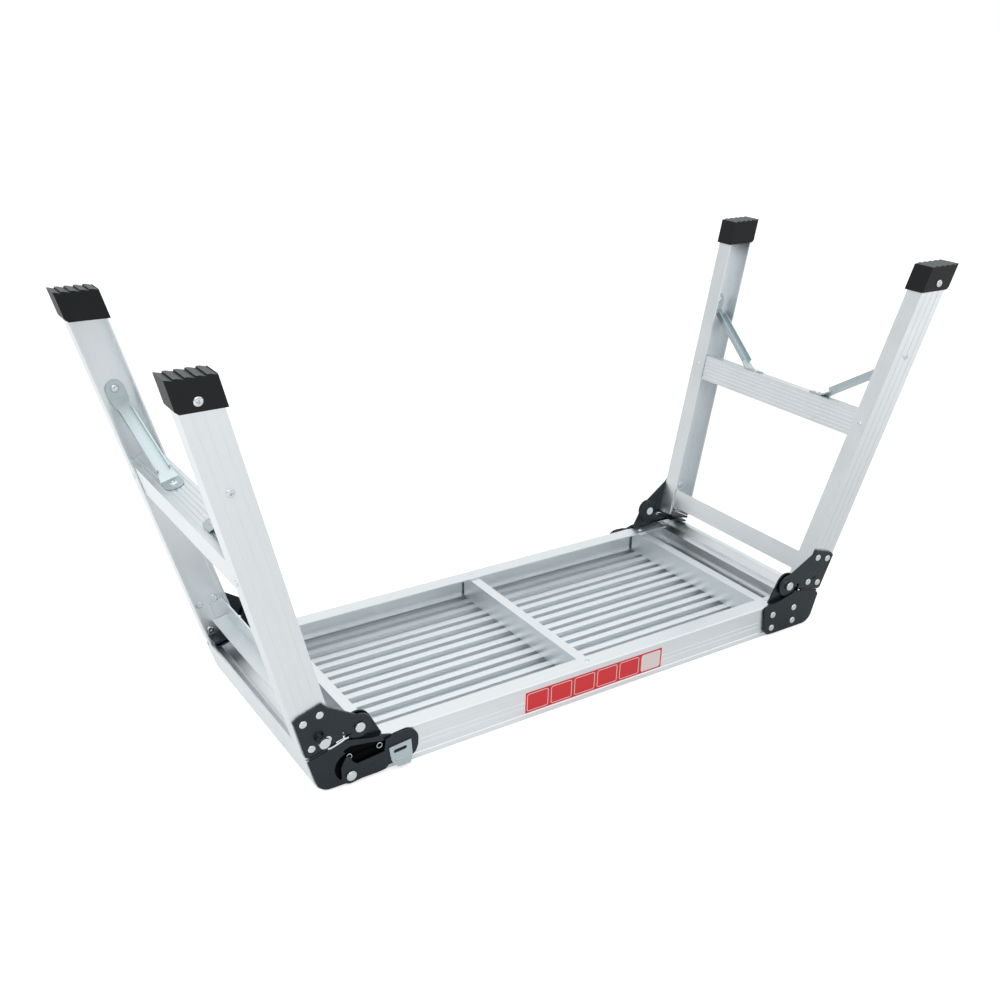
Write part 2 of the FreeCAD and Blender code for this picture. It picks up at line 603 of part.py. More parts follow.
def base_plate(latched):
    """Near right base plate, riveted on the side rail, with a set-back tab around the pivot."""
    face = SIDE_FACE_Y
    seat_s = -PLATE_THICKNESS - SEAT_GAP
    edge_s = seat_s - SEAT_STEP
    outer = END_FACE_OFFSET
    foot_z = HINGE_FOOT_CLEARANCE
    tab_outer = -face + TAB_SETBACK
    tab_inner = tab_outer + TAB_THICKNESS
    above_rail = RAIL_HEIGHT + LATCH_RAIL_GAP
    tab_root = (PIVOT_X - TAB_ROOT, RAIL_HEIGHT + TAB_ROOT_LIFT)
    crease = from_pivot([(14.5, -13.0), (-13.0, -20.0), (1.5 - TAB_ROOT, 0.3 + TAB_ROOT_LIFT - PIVOT_LIFT)])

    outline = [(PIVOT_X - 37, foot_z + 7), (PIVOT_X - 31, foot_z + 1), (PIVOT_X - 20, foot_z)]
    outline += [(x, z + foot_z) for x, z in end_corner(RAIL_CORNER_RADIUS)[:-1]]
    outline += [leg_point(edge_s - 3, outer), leg_point(edge_s, outer - 4)]
    outline += [leg_point(edge_s, LEG_INNER_OFFSET - 6)] + crease + [(PIVOT_X - 40, RAIL_HEIGHT)]
    lower = prism_xz(outline, -PLATE_FACE_Y, -face)

    rise, run = PIVOT_Z - tab_root[1], PIVOT_X - tab_root[0]
    tangent = math.atan2(rise, run) + math.asin(TAB_RADIUS / math.hypot(run, rise))
    tab_points = [tab_root] + crease[::-1]
    tab_points += arc(PIVOT_X, PIVOT_Z, TAB_RADIUS, -30, 90 + math.degrees(tangent), 14)
    tab = prism_xz(tab_points, tab_outer, tab_inner)
    joggle = crease + [(x, max(z - 3.4, above_rail)) for x, z in reversed(crease)]
    web = prism_xz(joggle, -PLATE_FACE_Y, tab_inner)

    seat_e = (LEG_INNER_OFFSET + 3.3, outer - 4.3)
    seat = prism_xz([leg_point(seat_s, seat_e[0]), leg_point(seat_s, seat_e[1]),
                     leg_point(seat_s - TAB_THICKNESS, seat_e[1]),
                     leg_point(seat_s - TAB_THICKNESS, seat_e[0])], -face - SEAT_SETBACK, -face + SEAT_DEPTH)
    bend = prism_xz([leg_point(seat_s, seat_e[0]), leg_point(seat_s, seat_e[1]),
                     leg_point(edge_s - 2, seat_e[1]), leg_point(edge_s - 2, seat_e[0])],
                    -PLATE_FACE_Y + SEAT_SETBACK, -face)
    plate = join(lower, web, tab, seat, bend)
    x, z = leg_point(seat_s, LEG_INNER_OFFSET + 15)
    plate = plate.cut(rod_z(x, -face + SEAT_DEPTH - 10, z - 12, z + 12, SEAT_HOLE_RADIUS))
    plate = plate.cut(rod_y(PIVOT_X, PIVOT_Z, -face, 0, PIN_RADIUS))
    if latched:
        pocket_y = -PLATE_FACE_Y + LATCH_POCKET_DEPTH
        window = from_latch([(7, 32.5), (-1, 36), (-25, 32.5), (-48, 27), (-44, 12), (-8, 8), (-2, 15)])
        crescent = from_latch([(12, -4), (17, 4), (18.5, 12), (16, 20), (11, 25.5), (4, 29), (2, 26),
                               (4, 18), (7, 8), (6, -2)])
        for points in (window, crescent):
            plate = plate.cut(prism_xz(points, -face - 2 * PLATE_THICKNESS, pocket_y))
        plate = plate.cut(rod_y(LATCH_PIVOT_X, LATCH_PIVOT_Z, -2 * face, -face, LATCH_PIN_RADIUS))
    return plate


def pivot_pin():
    """Near right pivot: a headed rivet through the leg plate and the base plate's tab."""
    inner_y = -SIDE_FACE_Y + TAB_SETBACK + TAB_THICKNESS
    head_y = -LEG_FACE_Y - PLATE_THICKNESS - PIN_HEAD_GAP
    shank = rod_y(PIVOT_X, PIVOT_Z, head_y, inner_y + 1, PIN_RADIUS)
    head = rod_y(PIVOT_X, PIVOT_Z, head_y - PIN_HEAD_HEIGHT, head_y, PIN_HEAD_RADIUS)
    tail = rod_y(PIVOT_X, PIVOT_Z, inner_y, inner_y + 2, PIN_HEAD_RADIUS)
    return join(shank, head, tail)


def latch_lever():
    """Near right latch lever: a pressed wall with a round head and a channel-shaped handle."""
    outer, inner = -LATCH_OUTER_Y, -LATCH_INNER_Y
    head = arc(LATCH_PIVOT_X, LATCH_PIVOT_Z, LATCH_HEAD_RADIUS, -90, 10, 6)
    handle = arc(LATCH_PIVOT_X - 70.5, LATCH_PIVOT_Z + 19.5, LATCH_HANDLE_RADIUS, 90, 180, 6)
    tail = from_latch([(-85, 10), (-82, 2), (-76, -2)])
    outline = from_latch([(-53, -3.2)]) + head
    outline += from_latch([(11.5, 12), (8.5, 19), (4.5, 25), (0, 24), (-2.5, 17), (-8, 12), (-42, 15.8),
                           (-44, 31), (-58, 34)])
    wall = prism_xz(outline + handle + tail, outer, outer + LATCH_WALL)
    back = prism_xz(from_latch([(-55, -2), (-55, 33)]) + handle + tail, inner - LATCH_WALL, inner)
    rim = from_latch([(-55, -2.4), (-75.8, -1.2), (-81.2, 2.6), (-84.1, 10.2), (-84.6, 18)])
    floor = prism_xz(ribbon(rim, LATCH_WALL), outer, inner)
    swept = rod_y(LATCH_PIVOT_X, LATCH_PIVOT_Z, -PLATE_FACE_Y - LATCH_FACE_GAP / 2, 0, LATCH_SWEEP_RADIUS)
    lever = join(wall, join(back, floor).cut(swept))
    return lever.cut(rod_y(LATCH_PIVOT_X, LATCH_PIVOT_Z, -2 * SIDE_FACE_Y, 0,
                           LATCH_PIN_RADIUS + PIN_RUNNING_FIT))


def latch_pin():
    """Near right latch rivet, with a washer behind the lever."""
    outer = -LATCH_OUTER_Y
    shank = rod_y(LATCH_PIVOT_X, LATCH_PIVOT_Z, outer - 0.4, -SIDE_FACE_Y - 0.2, LATCH_PIN_RADIUS)
    head = rod_y(LATCH_PIVOT_X, LATCH_PIVOT_Z, outer - 2.4, outer - 0.3, PIN_HEAD_RADIUS)
    washer = rod_y(LATCH_PIVOT_X, LATCH_PIVOT_Z, outer + LATCH_WALL + 0.15, -PLATE_FACE_Y - 0.05,
                   LATCH_PIN_RADIUS + 2)
    return join(shank, head, washer)


def latch_clip():
    """Spring clip on the near right latch handle: a slotted shield with a lip bent outwards."""
    face = -LATCH_OUTER_Y - CLIP_GAP
    front = face - CLIP_THICKNESS
    flat_points = from_latch([(-47, 19), (-75, 22), (-76.5, 5), (-75, 3), (-50, 3), (-48.5, 8)])
    flat = prism_xz(flat_points, front, face)
    bend = (face + front) / 2
    lip_path = [(bend, LATCH_PIVOT_Z + 6), (bend - 0.8, LATCH_PIVOT_Z), (bend - 3, LATCH_PIVOT_Z - 7.5)]
    lip = prism_yz(ribbon(lip_path, CLIP_THICKNESS), LATCH_PIVOT_X - 79, LATCH_PIVOT_X - 47)
    taper = from_latch([(-75, 4), (-76.5, 5), (-76.2, 0), (-72, -8), (-61, -10), (-52, -3), (-49, 4)])
    lip = lip.common(prism_xz(taper, front - 12, face + 2))
    slot_ends = from_latch([(-67, 13.6), (-55, 12.4)])
    clip = join(flat, lip).cut(prism_xz(ribbon(slot_ends, 2 * CLIP_SLOT_RADIUS), front - 1, face + 1))
    for x, z in slot_ends:
        clip = clip.cut(rod_y(x, z, front - 1, face + 1, CLIP_SLOT_RADIUS))
    return clip


def export(name, shape):
    if not shape.isValid():
        raise ValueError(name + " is not a valid shape")
    shape.exportStep("parts/" + name + ".step")
    print(name, "solids", len(shape.Solids), "volume", round(shape.Volume, 1))


def main():
    os.makedirs("parts", exist_ok=True)
    nodes = {}
    rail = side_rail()
    nodes["near_side_rail"] = rail
    nodes["far_side_rail"] = mirror_y(rail)
    nodes["right_end_rail"] = end_rail()
    nodes["left_end_rail"] = half_turn(end_rail())
    for name, (y0, y1) in plank_bounds().items():
        nodes[name + "_deck_plank"] = plank(y0, y1, rib_places(y0, y1))
    nodes["centre_brace"] = cross_brace(CENTRE_BRACE_X)
    nodes["right_brace"] = cross_brace(END_BRACE_X)
    nodes["left_brace"] = cross_brace(-END_BRACE_X)

    step, cross = mid_step(), cross_rail()
    nodes["right_step"], nodes["left_step"] = step, half_turn(step)
    nodes["right_cross_rail"], nodes["left_cross_rail"] = cross, half_turn(cross)
    shared = {"leg": leg_rail(), "foot": foot(), "leg_strut": strut(), "pivot_pin": pivot_pin()}
    plain = {"leg_plate": leg_plate(False), "base_plate": base_plate(False)}
    latched = {"leg_plate": leg_plate(True), "base_plate": base_plate(True), "lock_pin": lock_pin(),
               "latch_lever": latch_lever(), "latch_clip": latch_clip(), "latch_pin": latch_pin()}
    for name, shape in shared.items():
        nodes["right_near_" + name] = shape
        nodes["right_far_" + name] = mirror_y(shape)
        nodes["left_far_" + name] = half_turn(shape)
        nodes["left_near_" + name] = half_turn(mirror_y(shape))
    for name, shape in plain.items():
        nodes["right_near_" + name] = shape
        nodes["left_far_" + name] = half_turn(shape)
    for name, shape in latched.items():
        nodes["right_far_" + name] = mirror_y(shape)
        nodes["left_near_" + name] = half_turn(mirror_y(shape))
    for name in sorted(nodes):
        export(name, nodes[name])


main()
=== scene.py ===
"""Looks of a folding aluminium work platform that lies on its deck with both leg frames open."""

import json
import logging
import math
from collections.abc import Callable, Iterable
from dataclasses import dataclass, field
from enum import Enum

import bmesh
import bpy
from mathutils import Matrix, Vector


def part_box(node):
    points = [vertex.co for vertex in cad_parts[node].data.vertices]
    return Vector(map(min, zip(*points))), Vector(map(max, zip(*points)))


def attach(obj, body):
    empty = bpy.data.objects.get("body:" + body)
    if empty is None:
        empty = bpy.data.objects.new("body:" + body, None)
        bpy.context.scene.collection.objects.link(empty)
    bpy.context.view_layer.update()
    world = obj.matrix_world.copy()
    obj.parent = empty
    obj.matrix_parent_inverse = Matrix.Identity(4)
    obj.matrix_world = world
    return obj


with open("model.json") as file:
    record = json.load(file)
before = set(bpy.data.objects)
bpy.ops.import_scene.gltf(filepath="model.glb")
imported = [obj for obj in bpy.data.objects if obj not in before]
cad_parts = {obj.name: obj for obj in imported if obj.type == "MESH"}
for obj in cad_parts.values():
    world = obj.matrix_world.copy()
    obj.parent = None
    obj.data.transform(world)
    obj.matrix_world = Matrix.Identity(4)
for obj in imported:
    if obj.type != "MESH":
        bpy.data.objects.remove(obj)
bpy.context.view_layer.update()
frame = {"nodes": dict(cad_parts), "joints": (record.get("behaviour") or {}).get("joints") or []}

MM = 0.001
LOG = logging.getLogger("platform")

# The leg frames lean outwards and splay sideways from their pivots
LEG_TILT = math.radians(15.4)
LEG_SPLAY = math.radians(5.18)
LEG_FACE_Y = 149.6
SIDE_FACE_Y = 150.0
PLATE_THICKNESS = 3.0
LEG_WALL = 2.0

# Range that most of a noise pattern falls in
NOISE_LOW = 0.3
NOISE_HIGH = 0.7


def linear(hex_colour: str) -> tuple[float, float, float, float]:
    """Turn an sRGB hex colour to linear light.

    Args:
        hex_colour: Colour such as "#C8D0D4".

    Returns:
        Linear red, green, blue and an alpha of 1.
    """
    parts = [int(hex_colour[i:i + 2], 16) / 255 for i in (1, 3, 5)]
    red, green, blue = (c / 12.92 if c <= 0.04045 else ((c + 0.055) / 1.055) ** 2.4 for c in parts)
    return red, green, blue, 1.0


def add_node(tree: bpy.types.NodeTree, kind: str, inputs: dict | None = None, **settings) -> bpy.types.Node:
    """Add one node with its settings, values and links.

    Args:
        tree: Node tree that gets the node.
        kind: Blender's type name of the node.
        inputs: Value or source socket for each input, by the input's name or number.
        settings: Attributes of the node.

    Returns:
        The new node.
    """
    node = tree.nodes.new(kind)
    for name, value in settings.items():
        setattr(node, name, value)
    for name, value in (inputs or {}).items():
        if isinstance(value, bpy.types.NodeSocket):
            tree.links.new(value, node.inputs[name])
        else:
            node.inputs[name].default_value = value
    return node


def new_material(name: str) -> tuple[bpy.types.Material, bpy.types.NodeTree]:
    """Make a material with an empty node tree.

    Args:
        name: Name of the material.

    Returns:
        The material and its node tree.
    """
    material = bpy.data.materials.new(name)
    material.use_nodes = True
    material.node_tree.nodes.clear()
    return material, material.node_tree


class Grain(Enum):
    """Direction in which a profile was extruded, in the platform's frame."""

    ALONG_DECK = "along_deck"
    ACROSS_DECK = "across_deck"
    RIGHT_NEAR_LEG = "right_near_leg"
    RIGHT_FAR_LEG = "right_far_leg"
    LEFT_NEAR_LEG = "left_near_leg"
    LEFT_FAR_LEG = "left_far_leg"

    def direction(self) -> Vector:
        """Unit vector along the extrusion."""
        if self is Grain.ALONG_DECK:
            return Vector((1, 0, 0))
        if self is Grain.ACROSS_DECK:
            return Vector((0, 1, 0))
        side = 1 if "right" in self.value else -1
        depth = -1 if "near" in self.value else 1
        lean = Vector((side * math.sin(LEG_TILT), depth * math.tan(LEG_SPLAY), math.cos(LEG_TILT)))
        return lean.normalized()


@dataclass(frozen=True)
class ExtrudedAluminium:
    """Mill finish 6063 aluminium: pale grey metal with fine die lines drawn along the profile."""

    grain: Grain
    label: str = "mill_finish_aluminium"
    colour: str = "#EEF2F4"
    line_colour: str = "#E2E8EB"
    roughness: float = 0.38
    gloss_spread: tuple[float, float] = (-0.05, 0.06)
    line_width_mm: float = 1.6
    line_length_mm: float = 240.0
    patch_mm: float = 45.0
    line_depth_mm: float = 0.015

    def material(self) -> bpy.types.Material:
        """Die lines stretch along the grain; handling leaves broad soft patches of other gloss."""
        material, tree = new_material(self.label + "_" + self.grain.value)
        place = add_node(tree, "ShaderNodeTexCoord").outputs["Object"]
        turn = Vector((1, 0, 0)).rotation_difference(self.grain.direction()).to_euler()
        # Real die lines are near 0.1 mm apart; they are drawn wider here so that they show
        width = self.line_width_mm * MM
        lines_at = add_node(tree, "ShaderNodeMapping", {
            "Vector": place,
            "Rotation": turn,
            "Scale": (self.line_length_mm * MM, width, width),
        }, vector_type="TEXTURE")
        lines = add_node(tree, "ShaderNodeTexNoise", {
            "Vector": lines_at.outputs[0],
            "Scale": 1.0,
            "Detail": 3.0,
            "Roughness": 0.65,
        })
        patches = add_node(tree, "ShaderNodeTexNoise", {
            "Vector": place,
            "Scale": 1 / (self.patch_mm * MM),
            "Detail": 2.0,
        })
        tint = add_node(tree, "ShaderNodeMix", {
            0: lines.outputs["Fac"],
            6: linear(self.line_colour),
            7: linear(self.colour),
        }, data_type="RGBA")
        gloss = add_node(tree, "ShaderNodeMapRange", {
            "Value": patches.outputs["Fac"],
            "From Min": NOISE_LOW,
            "From Max": NOISE_HIGH,
            "To Min": self.roughness + self.gloss_spread[0],
            "To Max": self.roughness + self.gloss_spread[1],
        })
        bump = add_node(tree, "ShaderNodeBump", {
            "Height": lines.outputs["Fac"],
            "Distance": self.line_depth_mm * MM,
            "Strength": 0.6,
        })
        surface = add_node(tree, "ShaderNodeBsdfPrincipled", {
            "Base Color": tint.outputs[2],
            "Metallic": 1.0,
            "Roughness": gloss.outputs[0],
            "Normal": bump.outputs[0],
        })
        add_node(tree, "ShaderNodeOutputMaterial", {"Surface": surface.outputs[0]})
        return material


@dataclass(frozen=True)
class BlackCoatedSteel:
    """Pressed steel with a glossy black electro-coat: dark and smooth, with a faint orange peel."""

    name: str = "black_coated_steel"
    colour: str = "#0A0F13"
    worn_colour: str = "#151B20"
    sheen_colour: str = "#E4F3FF"
    roughness: float = 0.28
    gloss_spread: tuple[float, float] = (-0.05, 0.07)
    refraction: float = 1.5
    peel_mm: float = 1.4
    peel_depth_mm: float = 0.02
    patch_mm: float = 18.0
    edge_mm: float = 0.5

    def material(self) -> bpy.types.Material:
        """Rolled edges catch the light, and the coat's gloss varies a little in patches."""
        material, tree = new_material(self.name)
        place = add_node(tree, "ShaderNodeTexCoord").outputs["Object"]
        peel = add_node(tree, "ShaderNodeTexNoise", {
            "Vector": place,
            "Scale": 1 / (self.peel_mm * MM),
            "Detail": 1.0,
        })
        patches = add_node(tree, "ShaderNodeTexNoise", {
            "Vector": place,
            "Scale": 1 / (self.patch_mm * MM),
            "Detail": 4.0,
        })
        tint = add_node(tree, "ShaderNodeMix", {
            0: patches.outputs["Fac"],
            6: linear(self.colour),
            7: linear(self.worn_colour),
        }, data_type="RGBA")
        gloss = add_node(tree, "ShaderNodeMapRange", {
            "Value": patches.outputs["Fac"],
            "From Min": NOISE_LOW,
            "From Max": NOISE_HIGH,
            "To Min": self.roughness + self.gloss_spread[0],
            "To Max": self.roughness + self.gloss_spread[1],
        })
        edge = add_node(tree, "ShaderNodeBevel", {"Radius": self.edge_mm * MM}, samples=4)
        bump = add_node(tree, "ShaderNodeBump", {
            "Height": peel.outputs["Fac"],
            "Distance": self.peel_depth_mm * MM,
            "Strength": 0.5,
            "Normal": edge.outputs[0],
        })
        surface = add_node(tree, "ShaderNodeBsdfPrincipled", {
            "Base Color": tint.outputs[2],
            "Roughness": gloss.outputs[0],
            "IOR": self.refraction,
            "Specular Tint": linear(self.sheen_colour),
            "Normal": bump.outputs[0],
        })
        add_node(tree, "ShaderNodeOutputMaterial", {"Surface": surface.outputs[0]})
        return material


@dataclass(frozen=True)
class ZincPlatedSteel:
    """Bright zinc plate with a blue passivate: a cool white metal with a faint crystal mottle."""

    name: str = "blue_zinc_plated_steel"
    colour: str = "#B8C8CD"
    warm_colour: str = "#C5CFD2"
    roughness: float = 0.4
    mottle_mm: float = 14.0
    gloss_spread: float = 0.03
    edge_mm: float = 0.4

    def material(self) -> bpy.types.Material:
        """The passivate film shifts between blue and grey over a centimetre or so."""
        material, tree = new_material(self.name)
        place = add_node(tree, "ShaderNodeTexCoord").outputs["Object"]
        mottle = add_node(tree, "ShaderNodeTexNoise", {
            "Vector": place,
            "Scale": 1 / (self.mottle_mm * MM),
            "Detail": 3.0,
        })
        tint = add_node(tree, "ShaderNodeMix", {
            0: mottle.outputs["Fac"],
            6: linear(self.colour),
            7: linear(self.warm_colour),
        }, data_type="RGBA")
        gloss = add_node(tree, "ShaderNodeMapRange", {
            "Value": mottle.outputs["Fac"],
            "From Min": NOISE_LOW,
            "From Max": NOISE_HIGH,
            "To Min": self.roughness - self.gloss_spread,
            "To Max": self.roughness + self.gloss_spread,
        })
        edge = add_node(tree, "ShaderNodeBevel", {"Radius": self.edge_mm * MM}, samples=4)
        surface = add_node(tree, "ShaderNodeBsdfPrincipled", {
            "Base Color": tint.outputs[2],
            "Metallic": 1.0,
            "Roughness": gloss.outputs[0],
            "Normal": edge.outputs[0],
        })
        add_node(tree, "ShaderNodeOutputMaterial", {"Surface": surface.outputs[0]})
        return material


@dataclass(frozen=True)
class MouldedFootRubber:
    """Injection-moulded black polypropylene rubber: near black, with a fine spark-eroded grain."""

    colour: str = "#06090C"
    grain_colour: str = "#0F1316"
    sole_painted_sheen_colour: str = "#5E6365"
    roughness: float = 0.46
    grain_mm: float = 0.8
    grain_depth_mm: float = 0.05
    edge_mm: float = 0.6

    def material(self) -> bpy.types.Material:
        """The tool's grain breaks up the sheen, and the sole, which faces up here, is painted lighter grey as a
        painted sheen.
        """
        material, tree = new_material("moulded_black_foot_rubber")
        coordinates = add_node(tree, "ShaderNodeTexCoord")
        place = coordinates.outputs["Object"]
        grain = add_node(tree, "ShaderNodeTexNoise", {
            "Vector": place,
            "Scale": 1 / (self.grain_mm * MM),
            "Detail": 2.0,
        })
        tint = add_node(tree, "ShaderNodeMix", {
            0: grain.outputs["Fac"],
            6: linear(self.colour),
            7: linear(self.grain_colour),
        }, data_type="RGBA")
        # Faces that point up get a lighter grey: painted sheen on the sole.
        facing = add_node(tree, "ShaderNodeSeparateXYZ", {"Vector": coordinates.outputs["Normal"]})
        sole = add_node(tree, "ShaderNodeMapRange", {
            "Value": facing.outputs["Z"],
            "From Min": 0.8,
            "From Max": 0.97,
        })
        sole_painted_sheen = add_node(tree, "ShaderNodeMix", {
            0: sole.outputs[0],
            6: tint.outputs[2],
            7: linear(self.sole_painted_sheen_colour),
        }, data_type="RGBA")
        edge = add_node(tree, "ShaderNodeBevel", {"Radius": self.edge_mm * MM}, samples=4)
        bump = add_node(tree, "ShaderNodeBump", {
            "Height": grain.outputs["Fac"],
            "Distance": self.grain_depth_mm * MM,
            "Strength": 0.6,
            "Normal": edge.outputs[0],
        })
        surface = add_node(tree, "ShaderNodeBsdfPrincipled", {
            "Base Color": sole_painted_sheen.outputs[2],
            "Roughness": self.roughness,
            "IOR": 1.36,
            "Normal": bump.outputs[0],
        })
        add_node(tree, "ShaderNodeOutputMaterial", {"Surface": surface.outputs[0]})
        return material


@dataclass(frozen=True)
class PrintedDecalFilm:
    """Vinyl film with a printed colour: smooth, with a slow ripple where it is stuck down."""

    name: str
    colour: str
    roughness: float = 0.32
    ripple_mm: float = 12.0
    ripple_depth_mm: float = 0.03

    def material(self) -> bpy.types.Material:
        """The ripple only bends the sheen; the print is one flat colour."""
        material, tree = new_material(self.name)
        place = add_node(tree, "ShaderNodeTexCoord").outputs["Object"]
        ripple = add_node(tree, "ShaderNodeTexNoise", {
            "Vector": place,
            "Scale": 1 / (self.ripple_mm * MM),
            "Detail": 1.0,
        })
        bump = add_node(tree, "ShaderNodeBump", {
            "Height": ripple.outputs["Fac"],
            "Distance": self.ripple_depth_mm * MM,
            "Strength": 0.5,
        })
        surface = add_node(tree, "ShaderNodeBsdfPrincipled", {
            "Base Color": linear(self.colour),
            "Roughness": self.roughness,
            "IOR": 1.45,
            "Normal": bump.outputs[0],
        })
        add_node(tree, "ShaderNodeOutputMaterial", {"Surface": surface.outputs[0]})
        return material


@dataclass(frozen=True)
class StudioPaper:
    """White sweep that shows white to the camera and keeps the object's shadow."""

    colour: str = "#EDEDED"
    seen_lift: float = 0.6
    near_lift: float = 0.0
    far_lift: float = 0.42
    pool_middle: tuple[float, float] = (0.38, -0.45)
    pool_metres: tuple[float, float] = (1.4, 1.1)

    def material(self) -> bpy.types.Material:
        """Light of its own takes it to white for the camera; in reflections its glow is a painted reflection,
        dimmed round the platform as a painted shadow.
        """
        material, tree = new_material("white_studio_paper")
        place = add_node(tree, "ShaderNodeTexCoord").outputs["Object"]
        around = add_node(tree, "ShaderNodeMapping", {
            "Vector": place,
            "Location": (*self.pool_middle, 0.0),
            "Scale": (*self.pool_metres, 1.0),
        }, vector_type="TEXTURE")
        pool = add_node(tree, "ShaderNodeTexGradient", {"Vector": around.outputs[0]}, gradient_type="SPHERICAL")
        # Painted shadow: the glow that reflections see drops from far_lift to near_lift towards the platform.
        painted_shadow_glow = add_node(tree, "ShaderNodeMapRange", {
            "Value": pool.outputs["Fac"],
            "To Min": self.far_lift,
            "To Max": self.near_lift,
        })
        path = add_node(tree, "ShaderNodeLightPath")
        mirrored = add_node(tree, "ShaderNodeMath", {
            0: path.outputs["Is Glossy Ray"],
            1: painted_shadow_glow.outputs[0],
        }, operation="MULTIPLY")
        seen = add_node(tree, "ShaderNodeMath", {
            0: path.outputs["Is Camera Ray"],
            1: self.seen_lift,
        }, operation="MULTIPLY")
        lift = add_node(tree, "ShaderNodeMath", {0: mirrored.outputs[0], 1: seen.outputs[0]}, operation="ADD")
        paper = add_node(tree, "ShaderNodeBsdfDiffuse", {"Color": linear(self.colour)})
        glow = add_node(tree, "ShaderNodeEmission", {"Strength": lift.outputs[0]})
        both = add_node(tree, "ShaderNodeAddShader", {0: paper.outputs[0], 1: glow.outputs[0]})
        add_node(tree, "ShaderNodeOutputMaterial", {"Surface": both.outputs[0]})
        return material


@dataclass(frozen=True)
class Finishes:
    """Every finish of the platform, made once."""

    aluminium: dict[Grain, bpy.types.Material]
    plank: bpy.types.Material
    black_steel: bpy.types.Material
    shaded_steel: bpy.types.Material
    zinc: bpy.types.Material
    rivet: bpy.types.Material
    foot: bpy.types.Material
    decal: bpy.types.Material
    decal_line: bpy.types.Material

    @classmethod
    def make(cls) -> "Finishes":
        """Make the materials of all finishes."""
        return cls(
            aluminium={grain: ExtrudedAluminium(grain).material() for grain in Grain},
            plank=ExtrudedAluminium(Grain.ALONG_DECK, "etched_plank_aluminium", roughness=0.6).material(),
            black_steel=BlackCoatedSteel().material(),
            # Near-black, dull copy of the black steel: painted shade for the pocket floors, the gap behind the
            # plain hinges and the latch spring.
            shaded_steel=BlackCoatedSteel("painted_shade_black_steel", "#020303", "#040506", roughness=0.6,
                                          refraction=1.15).material(),
            zinc=ZincPlatedSteel().material(),
            rivet=ZincPlatedSteel("bright_zinc_rivets", "#CDD7DB", "#E2E8EA", 0.2, 2.0).material(),
            foot=MouldedFootRubber().material(),
            decal=PrintedDecalFilm("red_decal_film", "#EA3038").material(),
            decal_line=PrintedDecalFilm("white_decal_print", "#F6EDEC").material(),
        )


@dataclass(frozen=True)
class Corner:
    """One of the platform's four hinge corners, drawn at the near right and mirrored to its place."""

    name: str
    side: int
    depth: int
    latched: bool

    @property
    def leg_body(self) -> str:
        """Body that the leg of this corner belongs to."""
        return ("right" if self.side > 0 else "left") + "_leg_frame"

    @property
    def grain(self) -> Grain:
        """Extrusion direction of this corner's leg."""
        return Grain(self.name + "_leg")

    def place(self, point: Vector) -> Vector:
        """Move a near right point, in millimetres, to this corner, in metres."""
        return Vector((point.x * self.side, -point.y * self.depth, point.z)) * MM

    def turn(self, direction: Vector) -> Vector:
        """Mirror a near right direction to this corner."""
        return Vector((direction.x * self.side, -direction.y * self.depth, direction.z)).normalized()


CORNERS = (
    Corner("right_near", 1, -1, False),
    Corner("right_far", 1, 1, True),
    Corner("left_near", -1, -1, True),
    Corner("left_far", -1, 1, False),
)


@dataclass(frozen=True)
class LegSpace:
    """Near right leg's own directions: outwards from its pivot, inwards from its web, and along it."""

    pivot_x: float
    pivot_z: float

    @classmethod
    def from_frame(cls) -> "LegSpace":
        """Take the pivot from the right leg frame's joint."""
        joint = next(j for j in frame["joints"] if j["child"] == "right_leg_frame")
        return cls(joint["pos_m"][0] / MM, joint["pos_m"][2] / MM)

    @property
    def along(self) -> Vector:
        """Unit vector up the leg."""
        return Vector((math.sin(LEG_TILT), -math.tan(LEG_SPLAY), math.cos(LEG_TILT))).normalized()

    @property
    def outwards(self) -> Vector:
        """Unit vector from the deck towards the platform's end."""
        return Vector((math.cos(LEG_TILT), 0, -math.sin(LEG_TILT)))

    @property
    def inwards(self) -> Vector:
        """Unit vector from the web towards the other leg."""
        return self.along.cross(self.outwards)

    def point(self, outwards: float, inwards: float, along: float) -> Vector:
        """Point in millimetres at these distances from the pivot, on the web's outer face."""
        origin = Vector((self.pivot_x, -LEG_FACE_Y, self.pivot_z))
        return origin + self.outwards * outwards + self.inwards * inwards + self.along * along


class HeadShape(Enum):
    """Forms of fastener heads on the platform."""

    DOMED = "domed"
    TAIL = "tail"
    CROSS = "cross"
    BLIND = "blind"


